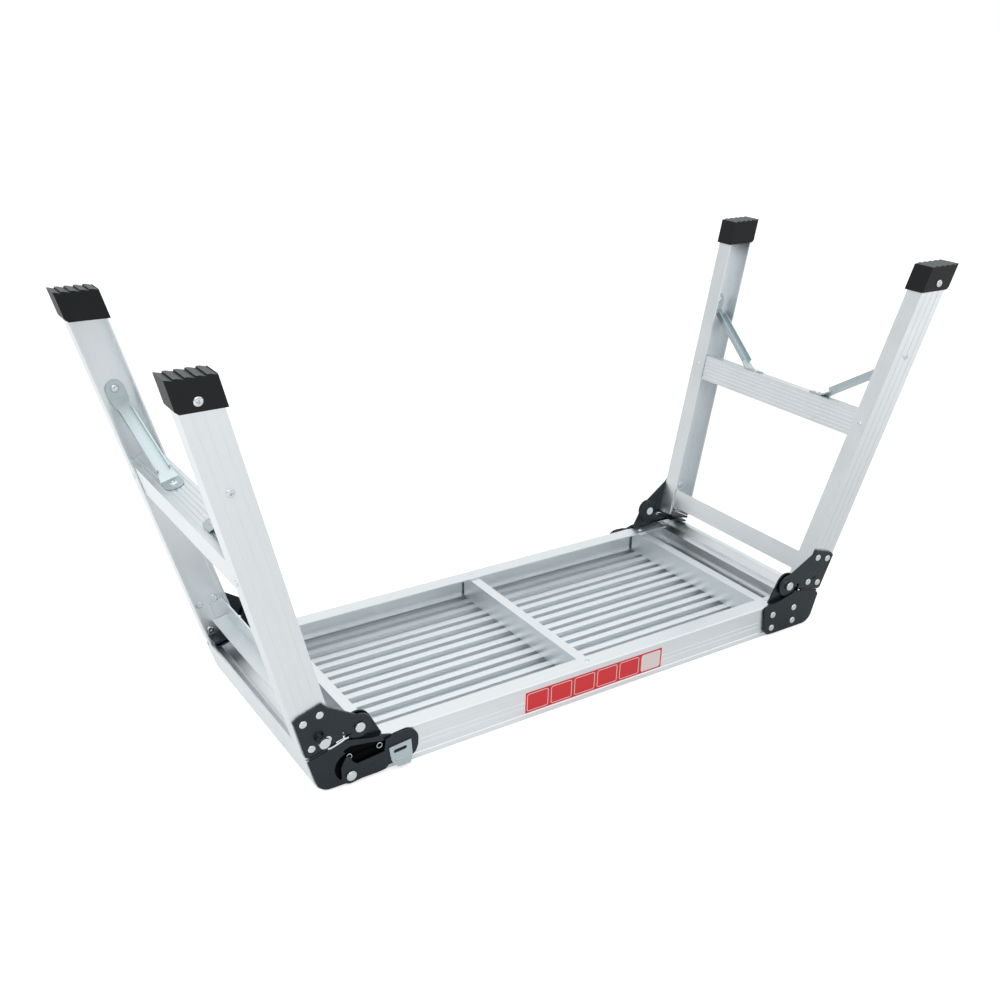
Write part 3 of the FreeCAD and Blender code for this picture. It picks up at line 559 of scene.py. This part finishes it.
@dataclass(frozen=True)
class Fastener:
    """Head of a rivet or screw: depths are shares of its height, and reaches are shares of its radius."""

    shape: HeadShape
    radius_mm: float
    height_mm: float
    rings: int = 10
    segments: int = 32
    dimple_depth: float = 0.45
    dimple_reach: float = 0.3
    hole_reach: float = 0.3
    cross_depth: float = 0.8
    cross_reach: float = 0.62
    cross_half_width: float = 0.1
    sink_mm: float = 0.15

    def height(self, radius: float, angle: float) -> float:
        """Height of the head's surface.

        Args:
            radius: Distance from the axis as a share of the head's radius.
            angle: Direction round the axis, in radians.

        Returns:
            Height in millimetres.
        """
        dome = self.height_mm * math.sqrt(max(0.0, 1 - radius ** 4))
        if self.shape is HeadShape.TAIL:
            return dome * (1 - self.dimple_depth * math.exp(-(radius / self.dimple_reach) ** 2))
        if self.shape is HeadShape.BLIND:
            return dome - self.height_mm * (1.0 if radius < self.hole_reach else 0.0)
        if self.shape is HeadShape.CROSS:
            across = min(abs(math.sin(angle)), abs(math.cos(angle))) * radius
            recess = self.cross_depth * self.height_mm * (1 - radius / self.cross_reach)
            in_cross = across < self.cross_half_width and radius < self.cross_reach
            return dome - max(0.0, recess) if in_cross else dome
        return dome

    def add(self, mesh: bmesh.types.BMesh, centre: Vector, normal: Vector) -> None:
        """Add the head to a mesh.

        Args:
            mesh: Mesh that gets the head.
            centre: Point of the axis on the surface, in metres.
            normal: Direction in which the head stands out.
        """
        turn = normal.to_track_quat("Z", "Y").to_matrix()
        rings = []
        for ring in range(1, self.rings + 1):
            share = math.sin(ring / self.rings * math.pi / 2)
            row = []
            for step in range(self.segments):
                angle = 2 * math.pi * step / self.segments
                flat = Vector((math.cos(angle), math.sin(angle), 0)) * share * self.radius_mm
                flat.z = self.height(share, angle)
                row.append(mesh.verts.new(centre + turn @ flat * MM))
            rings.append(row)
        top = mesh.verts.new(centre + turn @ Vector((0, 0, self.height(0.0, 0.0))) * MM)
        foot_drop = Vector((0, 0, -self.sink_mm)) * MM
        foot = [mesh.verts.new(vert.co + turn @ foot_drop) for vert in rings[-1]]
        for step in range(self.segments):
            after = (step + 1) % self.segments
            mesh.faces.new((top, rings[0][step], rings[0][after]))
            for inner, outer in zip(rings, rings[1:] + [foot]):
                mesh.faces.new((inner[step], outer[step], outer[after], inner[after]))
        mesh.faces.new(foot[::-1])


def finish_piece(mesh: bmesh.types.BMesh, name: str, material: bpy.types.Material, body: str,
                 smooth_angle: float = 35.0) -> bpy.types.Object:
    """Turn a mesh into a dressed piece that rides on a body.

    Args:
        mesh: The piece's mesh, in metres.
        name: Name of the piece.
        material: Its finish.
        body: Body that carries it.
        smooth_angle: Faces that meet at less than this many degrees are shaded smooth.

    Returns:
        The new object.
    """
    bmesh.ops.recalc_face_normals(mesh, faces=mesh.faces)
    data = bpy.data.meshes.new(name)
    mesh.to_mesh(data)
    mesh.free()
    piece = bpy.data.objects.new(name, data)
    bpy.context.scene.collection.objects.link(piece)
    data.shade_smooth()
    data.set_sharp_from_angle(angle=math.radians(smooth_angle))
    data.materials.append(material)
    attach(piece, body)
    LOG.info("piece %s rides on %s", name, body)
    return piece


def dress(nodes: Iterable[str], material: bpy.types.Material) -> None:
    """Give CAD nodes a finish.

    Args:
        nodes: Names of the nodes.
        material: The finish.
    """
    for name in nodes:
        data = frame["nodes"][name].data
        data.materials.clear()
        data.materials.append(material)
        LOG.info("node %s has %s", name, material.name)


def box_mesh(low: Vector, high: Vector) -> bmesh.types.BMesh:
    """Mesh of an upright box between two corners, in metres."""
    mesh = bmesh.new()
    bmesh.ops.create_cube(mesh, size=1.0)
    for vert in mesh.verts:
        for axis in range(3):
            vert.co[axis] = low[axis] if vert.co[axis] < 0 else high[axis]
    return mesh


def slab_mesh(outline: Iterable[Vector], offset: Vector) -> bmesh.types.BMesh:
    """Mesh of a flat slab.

    Args:
        outline: Corners of one face, in metres.
        offset: From that face to the other one, in metres.

    Returns:
        The slab's mesh.
    """
    mesh = bmesh.new()
    front = [mesh.verts.new(point) for point in outline]
    back = [mesh.verts.new(vert.co + offset) for vert in front]
    mesh.faces.new(front)
    mesh.faces.new(back[::-1])
    for i, vert in enumerate(front):
        mesh.faces.new((front[i - 1], vert, back[i], back[i - 1]))
    return mesh


def sweep_mesh(path: Callable[[float], Vector], steps: int, radius: float, sides: int = 10,
               closed: bool = False) -> bmesh.types.BMesh:
    """Mesh of a round wire along a curve.

    Args:
        path: Point in metres for each share of the length from 0 to 1.
        steps: Number of stretches.
        radius: Wire radius in metres.
        sides: Number of sides of the wire.
        closed: Whether the wire's end joins its start.

    Returns:
        The wire's mesh.
    """
    mesh = bmesh.new()
    rows = []
    side = None
    count = steps if closed else steps + 1
    for i in range(count):
        share = i / steps
        ahead = path(share + 0.5 / steps) - path(share - 0.5 / steps)
        ahead.normalize()
        if side is None:
            side = ahead.orthogonal().normalized()
        side = (side - ahead * side.dot(ahead)).normalized()
        other = ahead.cross(side)
        centre = path(share)
        row = []
        for j in range(sides):
            angle = 2 * math.pi * j / sides
            row.append(mesh.verts.new(centre + (side * math.cos(angle) + other * math.sin(angle)) * radius))
        rows.append(row)
    pairs = list(zip(rows, rows[1:]))
    for row, after in pairs:
        for j in range(sides):
            k = (j + 1) % sides
            mesh.faces.new((row[j], row[k], after[k], after[j]))
    if closed:
        start = min(range(sides), key=lambda j: (rows[0][j].co - rows[-1][0].co).length)
        for j in range(sides):
            a, b = (start + j) % sides, (start + j + 1) % sides
            mesh.faces.new((rows[-1][j], rows[-1][(j + 1) % sides], rows[0][b], rows[0][a]))
    else:
        mesh.faces.new(rows[0][::-1])
        mesh.faces.new(rows[-1])
    return mesh


@dataclass
class Deck:
    """Side rails, end rails, planks and cross braces, with the screws through the rails' lips."""

    finishes: Finishes
    screw: Fastener = Fastener(HeadShape.CROSS, 3.2, 1.1, 14, 48)
    lip_screws: tuple[tuple[float, float], ...] = ((-4.4, 138.0), (305.0, 137.0), (354.0, 141.0))

    def dress(self) -> None:
        """Give each profile the finish that runs along it."""
        along = ["near_side_rail", "far_side_rail"]
        planks = [place + "_deck_plank" for place in ("near", "middle", "far")]
        across = ["left_end_rail", "right_end_rail", "centre_brace", "left_brace", "right_brace"]
        dress(along, self.finishes.aluminium[Grain.ALONG_DECK])
        dress(planks, self.finishes.plank)
        dress(across, self.finishes.aluminium[Grain.ACROSS_DECK])

    def build(self) -> None:
        """Screw heads on the rails' lips, one above each end of each brace and end rail shelf."""
        mesh = bmesh.new()
        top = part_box("near_side_rail")[1].z
        for x, y in self.lip_screws:
            for side in (-1, 1) if x > 0 else (1,):
                for depth in (-1, 1):
                    self.screw.add(mesh, Vector((x * side, y * depth, top / MM)) * MM, Vector((0, 0, 1)))
        finish_piece(mesh, "rail_lip_screws", self.finishes.rivet, "deck")


@dataclass
class SideDecal:
    """Blank decal on the near side rail: a red film with a row of panels that pale lines outline."""

    finishes: Finishes
    panels: int = 6
    start_mm: float = -104.5
    end_mm: float = 108.0
    low_mm: float = 7.9
    high_mm: float = 36.2
    face_recess_mm: float = 0.8
    film_mm: float = 0.25
    glue_mm: float = 0.05
    print_mm: float = 0.04
    margin_mm: float = 2.0
    line_mm: float = 0.9
    corner_mm: float = 3.2
    corner_steps: int = 6

    @property
    def face_y(self) -> float:
        """Outer face of the film, in millimetres."""
        return -SIDE_FACE_Y + self.face_recess_mm - self.film_mm

    @property
    def middle_z(self) -> float:
        """Middle of the film's height, in millimetres."""
        return (self.low_mm + self.high_mm) / 2

    def build(self) -> None:
        """A thin film bridges the rail's grooves, and each panel's outline is printed on it."""
        low = Vector((self.start_mm, self.face_y, self.low_mm)) * MM
        high = Vector((self.end_mm, self.face_y + self.film_mm + self.glue_mm, self.high_mm)) * MM
        finish_piece(box_mesh(low, high), "side_decal", self.finishes.decal, "deck")
        mesh = bmesh.new()
        pitch = (self.end_mm - self.start_mm) / self.panels
        for panel in range(self.panels):
            self.add_outline(mesh, self.start_mm + pitch * (panel + 0.5), pitch)
        finish_piece(mesh, "side_decal_outlines", self.finishes.decal_line, "deck")
        corners = self.round_rectangle(pitch / 2, self.line_mm)
        middle = Vector((self.end_mm - pitch / 2, self.face_y - self.print_mm, self.middle_z))
        outline = [(middle + Vector((x, 0, z))) * MM for x, z in corners]
        pale = slab_mesh(outline, Vector((0, self.print_mm, 0)) * MM)
        finish_piece(pale, "side_decal_pale_panel", self.finishes.decal_line, "deck")

    def add_outline(self, mesh: bmesh.types.BMesh, middle_x: float, pitch: float) -> None:
        """Add one panel's outline, a flat frame with round corners."""
        rings = []
        section = ((0.0, 0.0), (0.0, self.print_mm), (self.line_mm, self.print_mm), (self.line_mm, 0.0))
        for inset, depth in section:
            ring = []
            for x, z in self.round_rectangle(pitch / 2, inset):
                point = Vector((middle_x + x, self.face_y - depth, self.middle_z + z))
                ring.append(mesh.verts.new(point * MM))
            rings.append(ring)
        for ring, other in zip(rings, rings[1:] + rings[:1]):
            for i, vert in enumerate(ring):
                mesh.faces.new((vert, ring[i - 1], other[i - 1], other[i]))

    def round_rectangle(self, half_width: float, inset: float) -> list[tuple[float, float]]:
        """Points round a panel, a margin and an inset inside its share of the film."""
        radius = self.corner_mm - inset
        reach_x = half_width - self.margin_mm - self.corner_mm
        reach_z = (self.high_mm - self.low_mm) / 2 - self.margin_mm - self.corner_mm
        points = []
        for quarter, (side, up) in enumerate(((1, 1), (-1, 1), (-1, -1), (1, -1))):
            for step in range(self.corner_steps + 1):
                angle = math.pi / 2 * (quarter + step / self.corner_steps)
                x = side * reach_x + radius * math.cos(angle)
                z = up * reach_z + radius * math.sin(angle)
                points.append((x, z))
        return points


@dataclass
class LegFrame:
    """One leg frame: two legs with feet, a step, a cross rail and two braces."""

    side: int
    finishes: Finishes
    space: LegSpace
    foot_screw: Fastener = Fastener(HeadShape.CROSS, 4.9, 2.0, 18, 64)
    brace_rivet: Fastener = Fastener(HeadShape.BLIND, 4.6, 1.6, 14)
    small_rivet: Fastener = Fastener(HeadShape.TAIL, 3.2, 1.3)
    brace_head: Fastener = Fastener(HeadShape.TAIL, 4.8, 2.2)
    foot_screw_at: tuple[float, float, float] = (48.5, -2.6, 440.0)
    brace_rivet_at: tuple[float, float, float] = (47.9, 0.0, 339.8)
    brace_upper_at: tuple[float, float, float] = (47.45, 4.1, 339.8)
    brace_lower_outwards: float = 47.45
    brace_lower_rise: float = 255.6
    brace_lower_y: float = -60.0
    flange_faces: tuple[float, float] = (26.7, 68.2)
    step_rivet_inwards: float = 11.6
    step_rivet_along: float = 237.4

    @property
    def name(self) -> str:
        """Side of the platform that the frame is on."""
        return "right" if self.side > 0 else "left"

    @property
    def corners(self) -> list[Corner]:
        """The frame's two corners."""
        return [corner for corner in CORNERS if corner.side == self.side]

    def dress(self) -> None:
        """Give the frame's nodes their finishes."""
        across = [self.name + "_step", self.name + "_cross_rail"]
        dress(across, self.finishes.aluminium[Grain.ACROSS_DECK])
        for corner in self.corners:
            dress([corner.name + "_leg"], self.finishes.aluminium[corner.grain])
            dress([corner.name + "_foot"], self.finishes.foot)
            dress([corner.name + "_leg_strut"], self.finishes.zinc)

    def build(self) -> None:
        """Add the screws and rivets of both legs."""
        for corner in self.corners:
            mesh = bmesh.new()
            self.add_foot_screw(mesh, corner)
            self.add_web_rivets(mesh, corner)
            self.add_step_rivets(mesh, corner)
            self.add_brace_heads(mesh, corner)
            finish_piece(mesh, corner.name + "_leg_rivets", self.finishes.rivet, corner.leg_body)

    def add_head(self, mesh: bmesh.types.BMesh, corner: Corner, head: Fastener, point: Vector,
                 normal: Vector) -> None:
        """Add a head at a point of the near right leg, moved to the corner."""
        head.add(mesh, corner.place(point), corner.turn(normal))

    def add_foot_screw(self, mesh: bmesh.types.BMesh, corner: Corner) -> None:
        """The screw that holds the foot, on its outer face."""
        point = self.space.point(*self.foot_screw_at)
        self.add_head(mesh, corner, self.foot_screw, point, -self.space.inwards)

    def add_web_rivets(self, mesh: bmesh.types.BMesh, corner: Corner) -> None:
        """The brace's rivet on the leg's web."""
        point = self.space.point(*self.brace_rivet_at)
        self.add_head(mesh, corner, self.brace_rivet, point, -self.space.inwards)

    def add_step_rivets(self, mesh: bmesh.types.BMesh, corner: Corner) -> None:
        """The step's rivets through the leg's two flanges."""
        for face, normal in zip(self.flange_faces, (-self.space.outwards, self.space.outwards)):
            point = self.space.point(face, self.step_rivet_inwards, self.step_rivet_along)
            self.add_head(mesh, corner, self.small_rivet, point, normal)

    def add_brace_heads(self, mesh: bmesh.types.BMesh, corner: Corner) -> None:
        """The rivet heads on both ends of the pressed brace."""
        upper = self.space.point(*self.brace_upper_at)
        self.add_head(mesh, corner, self.brace_head, upper, self.space.inwards)
        up = Vector((math.sin(LEG_TILT), 0, math.cos(LEG_TILT)))
        pivot = Vector((self.space.pivot_x, 0, self.space.pivot_z))
        lower = pivot + up * self.brace_lower_rise + self.space.outwards * self.brace_lower_outwards
        lower.y = self.brace_lower_y
        self.add_head(mesh, corner, self.brace_head, lower, up)


@dataclass
class Hinge:
    """One corner's riveted hinge plates and pivot."""

    corner: Corner
    finishes: Finishes
    space: LegSpace
    rivet: Fastener = Fastener(HeadShape.TAIL, 4.7, 1.7)
    pivot_head: Fastener = Fastener(HeadShape.DOMED, 5.9, 1.3, 12, 48)
    plate_rows: tuple[float, ...] = (6.8, 44.4)
    plate_columns: tuple[float, ...] = (37.5, 57.5)
    base_rivets: tuple[tuple[float, float], ...] = ((304.0, 31.0), (304.0, 11.0), (344.0, 32.0), (344.0, 12.0))
    shade_y_mm: float = -147.0
    shade_mm: float = 0.4
    shade_rim_mm: float = 31.0
    shade_root_mm: float = 12.0
    shade_turn: tuple[float, float] = (-65.0, -24.0)
    shade_steps: int = 6

    def dress(self) -> None:
        """Give the plates and the pivot their finishes."""
        name = self.corner.name
        dress([name + "_leg_plate", name + "_base_plate"], self.finishes.black_steel)
        dress([name + "_pivot_pin"], self.finishes.rivet)
        if self.corner.latched:
            dress([name + "_lock_pin"], self.finishes.rivet)

    def build(self) -> None:
        """Add the rivet heads of the leg plate, of the base plate and of the pivot."""
        on_leg = bmesh.new()
        for along in self.plate_rows:
            for outwards in self.plate_columns:
                outer = self.corner.place(self.space.point(outwards, -PLATE_THICKNESS, along))
                self.rivet.add(on_leg, outer, self.corner.turn(-self.space.inwards))
                inner = self.corner.place(self.space.point(outwards, LEG_WALL, along))
                self.rivet.add(on_leg, inner, self.corner.turn(self.space.inwards))
        finish_piece(on_leg, self.corner.name + "_plate_rivets", self.finishes.rivet, self.corner.leg_body)
        on_deck = bmesh.new()
        low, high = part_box(self.corner.name + "_pivot_pin")
        outer_y = (-low.y if self.corner.depth < 0 else high.y) / MM
        head = Vector((self.space.pivot_x, -outer_y, self.space.pivot_z))
        outwards = self.corner.turn(Vector((0, -1, 0)))
        self.pivot_head.add(on_deck, self.corner.place(head), outwards)
        if not self.corner.latched:
            for x, z in self.base_rivets:
                point = Vector((x, -SIDE_FACE_Y - PLATE_THICKNESS, z))
                self.rivet.add(on_deck, self.corner.place(point), outwards)
            self.build_shade()
        finish_piece(on_deck, self.corner.name + "_base_rivets", self.finishes.rivet, "deck")

    def build_shade(self) -> None:
        """Plate of painted shade, a part of a ring round the pivot, behind the gap under the leg plate:
        near-black so that the gap reads as shade.
        """
        pivot = Vector((self.space.pivot_x, self.shade_y_mm, self.space.pivot_z))
        first, last = self.shade_turn
        steps = range(self.shade_steps + 1)
        turns = [first + (last - first) * step / self.shade_steps for step in steps]
        rim = [(self.shade_rim_mm, turn) for turn in turns]
        rim += [(self.shade_root_mm, turn) for turn in turns[::-1]]
        points = []
        for radius, turn in rim:
            arm = Vector((math.cos(math.radians(turn)), 0, math.sin(math.radians(turn)))) * radius
            points.append(self.corner.place(pivot + arm))
        inwards = self.corner.place(Vector((0, self.shade_mm, 0)))
        finish_piece(slab_mesh(points, inwards), self.corner.name + "_hinge_painted_shade", self.finishes.shaded_steel,
                     "deck")


@dataclass
class Latch:
    """Spring latch on two of the corners: lever, zinc clip, rivet and coil spring."""

    corner: Corner
    finishes: Finishes
    space: LegSpace
    rivet: Fastener = Fastener(HeadShape.DOMED, 5.6, 1.3, 12, 48)
    ring_wire_mm: float = 0.5
    ring_radius_mm: float = 3.2
    ring_y_mm: float = -153.0
    coil_wire_mm: float = 0.3
    coil_radius_mm: float = 0.7
    coil_turns: int = 26
    coil_y_mm: float = -152.1
    coil_steps: int = 16
    coil_sides: int = 6
    ring_steps: int = 32
    ring_sides: int = 8
    near_ring: tuple[float, float] = (341.5, 35.0)
    far_ring: tuple[float, float] = (304.0, 36.5)
    crease_y_mm: float = -157.6
    crease_z_mm: float = 12.2
    crease_share: float = 0.5
    crease_radius_mm: float = 0.8
    crease_steps: int = 12
    stop_wire: tuple[tuple[float, float], ...] = ((41.5, -4.6), (38.5, -5.6), (34.0, -5.9), (28.5, -5.7),
                                                  (24.5, -5.3), (20.5, -4.6), (15.5, -5.0))
    stop_wire_depth_mm: float = -3.9
    stop_wire_radius_mm: float = 1.3
    stop_wire_steps: int = 18
    pocket_y_mm: float = -151.0
    shade_sheet_mm: float = 0.1
    window: tuple[tuple[float, float], ...] = ((348.0, 44.5), (340.0, 48.0), (316.0, 44.5), (293.0, 39.0),
                                               (297.0, 24.0), (333.0, 20.0), (339.0, 27.0))
    crescent: tuple[tuple[float, float], ...] = ((353.0, 8.0), (358.0, 16.0), (359.5, 24.0), (357.0, 32.0),
                                                 (352.0, 37.5), (345.0, 41.0), (343.0, 38.0), (345.0, 30.0),
                                                 (348.0, 20.0), (347.0, 10.0))

    @property
    def body(self) -> str:
        """Body of the latch lever."""
        return self.corner.name + "_latch"

    def dress(self) -> None:
        """Give the lever, the clip and the rivet their finishes."""
        name = self.corner.name
        dress([name + "_latch_lever"], self.finishes.black_steel)
        dress([name + "_latch_clip"], self.finishes.zinc)
        dress([name + "_latch_pin"], self.finishes.rivet)

    def build(self) -> None:
        """Add the latch rivet's crown and the spring with its two end rings."""
        name = self.corner.name
        low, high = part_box(name + "_latch_pin")
        outer_y = -low.y if self.corner.depth < 0 else high.y
        mesh = bmesh.new()
        centre = Vector(((low.x + high.x) / 2, outer_y * self.corner.depth, (low.z + high.z) / 2))
        self.rivet.add(mesh, centre, self.corner.turn(Vector((0, -1, 0))))
        finish_piece(mesh, name + "_latch_rivet_crown", self.finishes.rivet, "deck")
        self.build_pocket_shades()
        self.build_crease()
        self.build_stop_wire()
        self.build_spring()

    def build_pocket_shades(self) -> None:
        """Sheets of painted shade on the floors of the two pockets in the base plate, which lie in deep shade:
        near-black and dull.
        """
        for label, outline in (("window", self.window), ("crescent", self.crescent)):
            points = [self.corner.place(Vector((x, self.pocket_y_mm, z))) for x, z in outline]
            lift = self.corner.place(Vector((0, -self.shade_sheet_mm, 0)))
            finish_piece(slab_mesh(points, lift), self.corner.name + "_" + label + "_painted_shade",
                         self.finishes.shaded_steel, "deck")

    def build_crease(self) -> None:
        """Pressed bead across the clip, where its lip bends outwards."""
        low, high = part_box(self.corner.name + "_latch_clip")
        middle = (low.x + high.x) / 2
        reach = (high.x - low.x) * self.crease_share / 2
        face_y = self.crease_y_mm * MM * -self.corner.depth

        def bead(share: float) -> Vector:
            """Point on the bead."""
            sideways = 2 * share - 1
            return Vector((middle + reach * sideways, face_y, (self.crease_z_mm + sideways ** 2) * MM))

        mesh = sweep_mesh(bead, self.crease_steps, self.crease_radius_mm * MM, self.ring_sides)
        finish_piece(mesh, self.corner.name + "_clip_crease", self.finishes.zinc, self.body)

    def build_stop_wire(self) -> None:
        """Bright wire in the gap between the leg plate and the base plate."""
        points = []
        for outwards, along in self.stop_wire:
            points.append(self.corner.place(self.space.point(outwards, self.stop_wire_depth_mm, along)))

        def bend(share: float) -> Vector:
            """Point on the wire."""
            place = min(max(share, 0.0), 1.0) * (len(points) - 1)
            before = min(int(place), len(points) - 2)
            return points[before].lerp(points[before + 1], place - before)

        mesh = sweep_mesh(bend, self.stop_wire_steps, self.stop_wire_radius_mm * MM)
        finish_piece(mesh, self.corner.name + "_stop_wire", self.finishes.rivet, "deck")

    def build_spring(self) -> None:
        """Coil spring between two wire rings, in the window of the base plate."""
        start = Vector((self.near_ring[0], self.coil_y_mm, self.near_ring[1]))
        end = Vector((self.far_ring[0], self.coil_y_mm, self.far_ring[1]))
        axis = (end - start).normalized()
        inset = self.ring_radius_mm
        first, last = start + axis * inset, end - axis * inset
        across = Vector((0, 1, 0))
        upwards = axis.cross(across)

        def coil(share: float) -> Vector:
            """Point on the coil."""
            angle = 2 * math.pi * self.coil_turns * share
            ring = across * math.cos(angle) + upwards * math.sin(angle)
            return self.corner.place(first.lerp(last, share) + ring * self.coil_radius_mm)

        mesh = sweep_mesh(coil, self.coil_turns * self.coil_steps, self.coil_wire_mm * MM, self.coil_sides)
        # The coil gets the near-black painted shade finish: painted shade of the dark window it lies in.
        finish_piece(mesh, self.corner.name + "_latch_spring", self.finishes.shaded_steel, "deck")
        forwards = Vector((0, self.ring_y_mm - self.coil_y_mm, 0))
        for label, centre in (("near", start + forwards), ("far", end + forwards)):

            def loop(share: float, middle: Vector = centre) -> Vector:
                """Point on an end ring."""
                angle = 2 * math.pi * share
                turn = axis * math.cos(angle) + upwards * math.sin(angle)
                return self.corner.place(middle + turn * self.ring_radius_mm)

            mesh = sweep_mesh(loop, self.ring_steps, self.ring_wire_mm * MM, self.ring_sides, closed=True)
            finish_piece(mesh, self.corner.name + "_spring_ring_" + label, self.finishes.rivet, "deck")


@dataclass(frozen=True)
class Softbox:
    """Square soft lamp that points at the middle of the platform."""

    name: str
    place: tuple[float, float, float]
    size: float
    power: float


SOFTBOXES = (
    Softbox("key_softbox", (-1.6, -1.2, 2.6), 1.8, 15.0),
    Softbox("side_softbox", (2.4, -0.6, 1.8), 1.4, 4.5),
)


@dataclass
class Studio:
    """White floor, soft lamps, world light and the camera."""

    floor_size: float = 60.0
    floor_drop: float = 0.0004
    zenith: float = 0.9
    lamp_aim: tuple[float, float, float] = (0.0, 0.0, 0.2)
    horizon_light: float = 0.48
    overhead_light: float = 0.72
    horizon_sheen: float = 0.5
    overhead_sheen: float = 1.34
    camera_place: Vector = field(default_factory=lambda: Vector((-0.809385, -1.141977, 0.805161)))
    yaw: float = -0.5872457
    pitch: float = -0.4020705
    roll: float = 0.0243
    focal_pixels: float = 1184.26
    image_pixels: float = 1000.0
    sensor_mm: float = 36.0
    view_reach: float = 200.0

    def build(self) -> None:
        """Make the whole studio."""
        self.make_floor()
        self.make_world()
        for softbox in SOFTBOXES:
            self.make_lamp(softbox)
        self.make_camera()
        bpy.context.scene.view_settings.view_transform = "Standard"

    def make_floor(self) -> None:
        """Floor that runs past everything that the camera sees."""
        mesh = bmesh.new()
        bmesh.ops.create_grid(mesh, x_segments=1, y_segments=1, size=self.floor_size / 2)
        data = bpy.data.meshes.new("studio_floor")
        mesh.to_mesh(data)
        mesh.free()
        floor = bpy.data.objects.new("studio_floor", data)
        floor.location.z = -self.floor_drop
        bpy.context.scene.collection.objects.link(floor)
        data.materials.append(StudioPaper().material())

    def make_world(self) -> None:
        """Even light, paler overhead than at the horizon, and white where the camera sees it."""
        world = bpy.data.worlds.new("studio_world")
        bpy.context.scene.world = world
        world.use_nodes = True
        tree = world.node_tree
        tree.nodes.clear()
        place = add_node(tree, "ShaderNodeTexCoord").outputs["Generated"]
        up = add_node(tree, "ShaderNodeSeparateXYZ", {"Vector": place})
        shade = add_node(tree, "ShaderNodeMapRange", {
            "Value": up.outputs["Z"],
            "From Min": 0.0,
            "From Max": self.zenith,
            "To Min": self.horizon_light,
            "To Max": self.overhead_light,
        })
        sheen = add_node(tree, "ShaderNodeMapRange", {
            "Value": up.outputs["Z"],
            "From Min": 0.0,
            "From Max": self.zenith,
            "To Min": self.horizon_sheen,
            "To Max": self.overhead_sheen,
        })
        path = add_node(tree, "ShaderNodeLightPath")
        mirrored = add_node(tree, "ShaderNodeMix", {
            0: path.outputs["Is Glossy Ray"],
            2: shade.outputs[0],
            3: sheen.outputs[0],
        }, data_type="FLOAT")
        strength = add_node(tree, "ShaderNodeMix", {
            0: path.outputs["Is Camera Ray"],
            2: mirrored.outputs[0],
            3: 1.0,
        }, data_type="FLOAT")
        light = add_node(tree, "ShaderNodeBackground", {
            "Color": linear("#FFFFFF"),
            "Strength": strength.outputs[0],
        })
        add_node(tree, "ShaderNodeOutputWorld", {"Surface": light.outputs[0]})

    def make_lamp(self, softbox: Softbox) -> None:
        """Add one softbox."""
        data = bpy.data.lights.new(softbox.name, "AREA")
        data.size = softbox.size
        data.energy = softbox.power
        lamp = bpy.data.objects.new(softbox.name, data)
        lamp.location = softbox.place
        aim = Vector(self.lamp_aim) - Vector(softbox.place)
        lamp.rotation_euler = aim.to_track_quat("-Z", "Y").to_euler()
        bpy.context.scene.collection.objects.link(lamp)

    def make_camera(self) -> None:
        """Camera at the viewing angle from which the platform is seen."""
        data = bpy.data.cameras.new("studio_camera")
        data.sensor_width = self.sensor_mm
        data.lens = data.sensor_width * self.focal_pixels / self.image_pixels
        data.clip_end = self.view_reach
        camera = bpy.data.objects.new("studio_camera", data)
        level = math.cos(self.pitch)
        ahead = Vector((-math.sin(self.yaw) * level, math.cos(self.yaw) * level, math.sin(self.pitch)))
        right = ahead.cross(Vector((0, 0, 1))).normalized()
        up = right.cross(ahead)
        turned_right = right * math.cos(self.roll) + up * math.sin(self.roll)
        turned_up = up * math.cos(self.roll) - right * math.sin(self.roll)
        axes = Matrix((turned_right, turned_up, -ahead)).transposed().to_4x4()
        camera.matrix_world = Matrix.Translation(self.camera_place) @ axes
        bpy.context.scene.collection.objects.link(camera)
        bpy.context.scene.camera = camera


def main() -> None:
    """Build the platform's looks part by part."""
    logging.basicConfig(level=logging.INFO, format="%(message)s")
    finishes = Finishes.make()
    space = LegSpace.from_frame()
    deck = Deck(finishes)
    deck.dress()
    deck.build()
    SideDecal(finishes).build()
    for side in (1, -1):
        leg_frame = LegFrame(side, finishes, space)
        leg_frame.dress()
        leg_frame.build()
    for corner in CORNERS:
        hinge = Hinge(corner, finishes, space)
        hinge.dress()
        hinge.build()
        if corner.latched:
            latch = Latch(corner, finishes, space)
            latch.dress()
            latch.build()
    Studio().build()


if __name__ == "__main__":
    main()
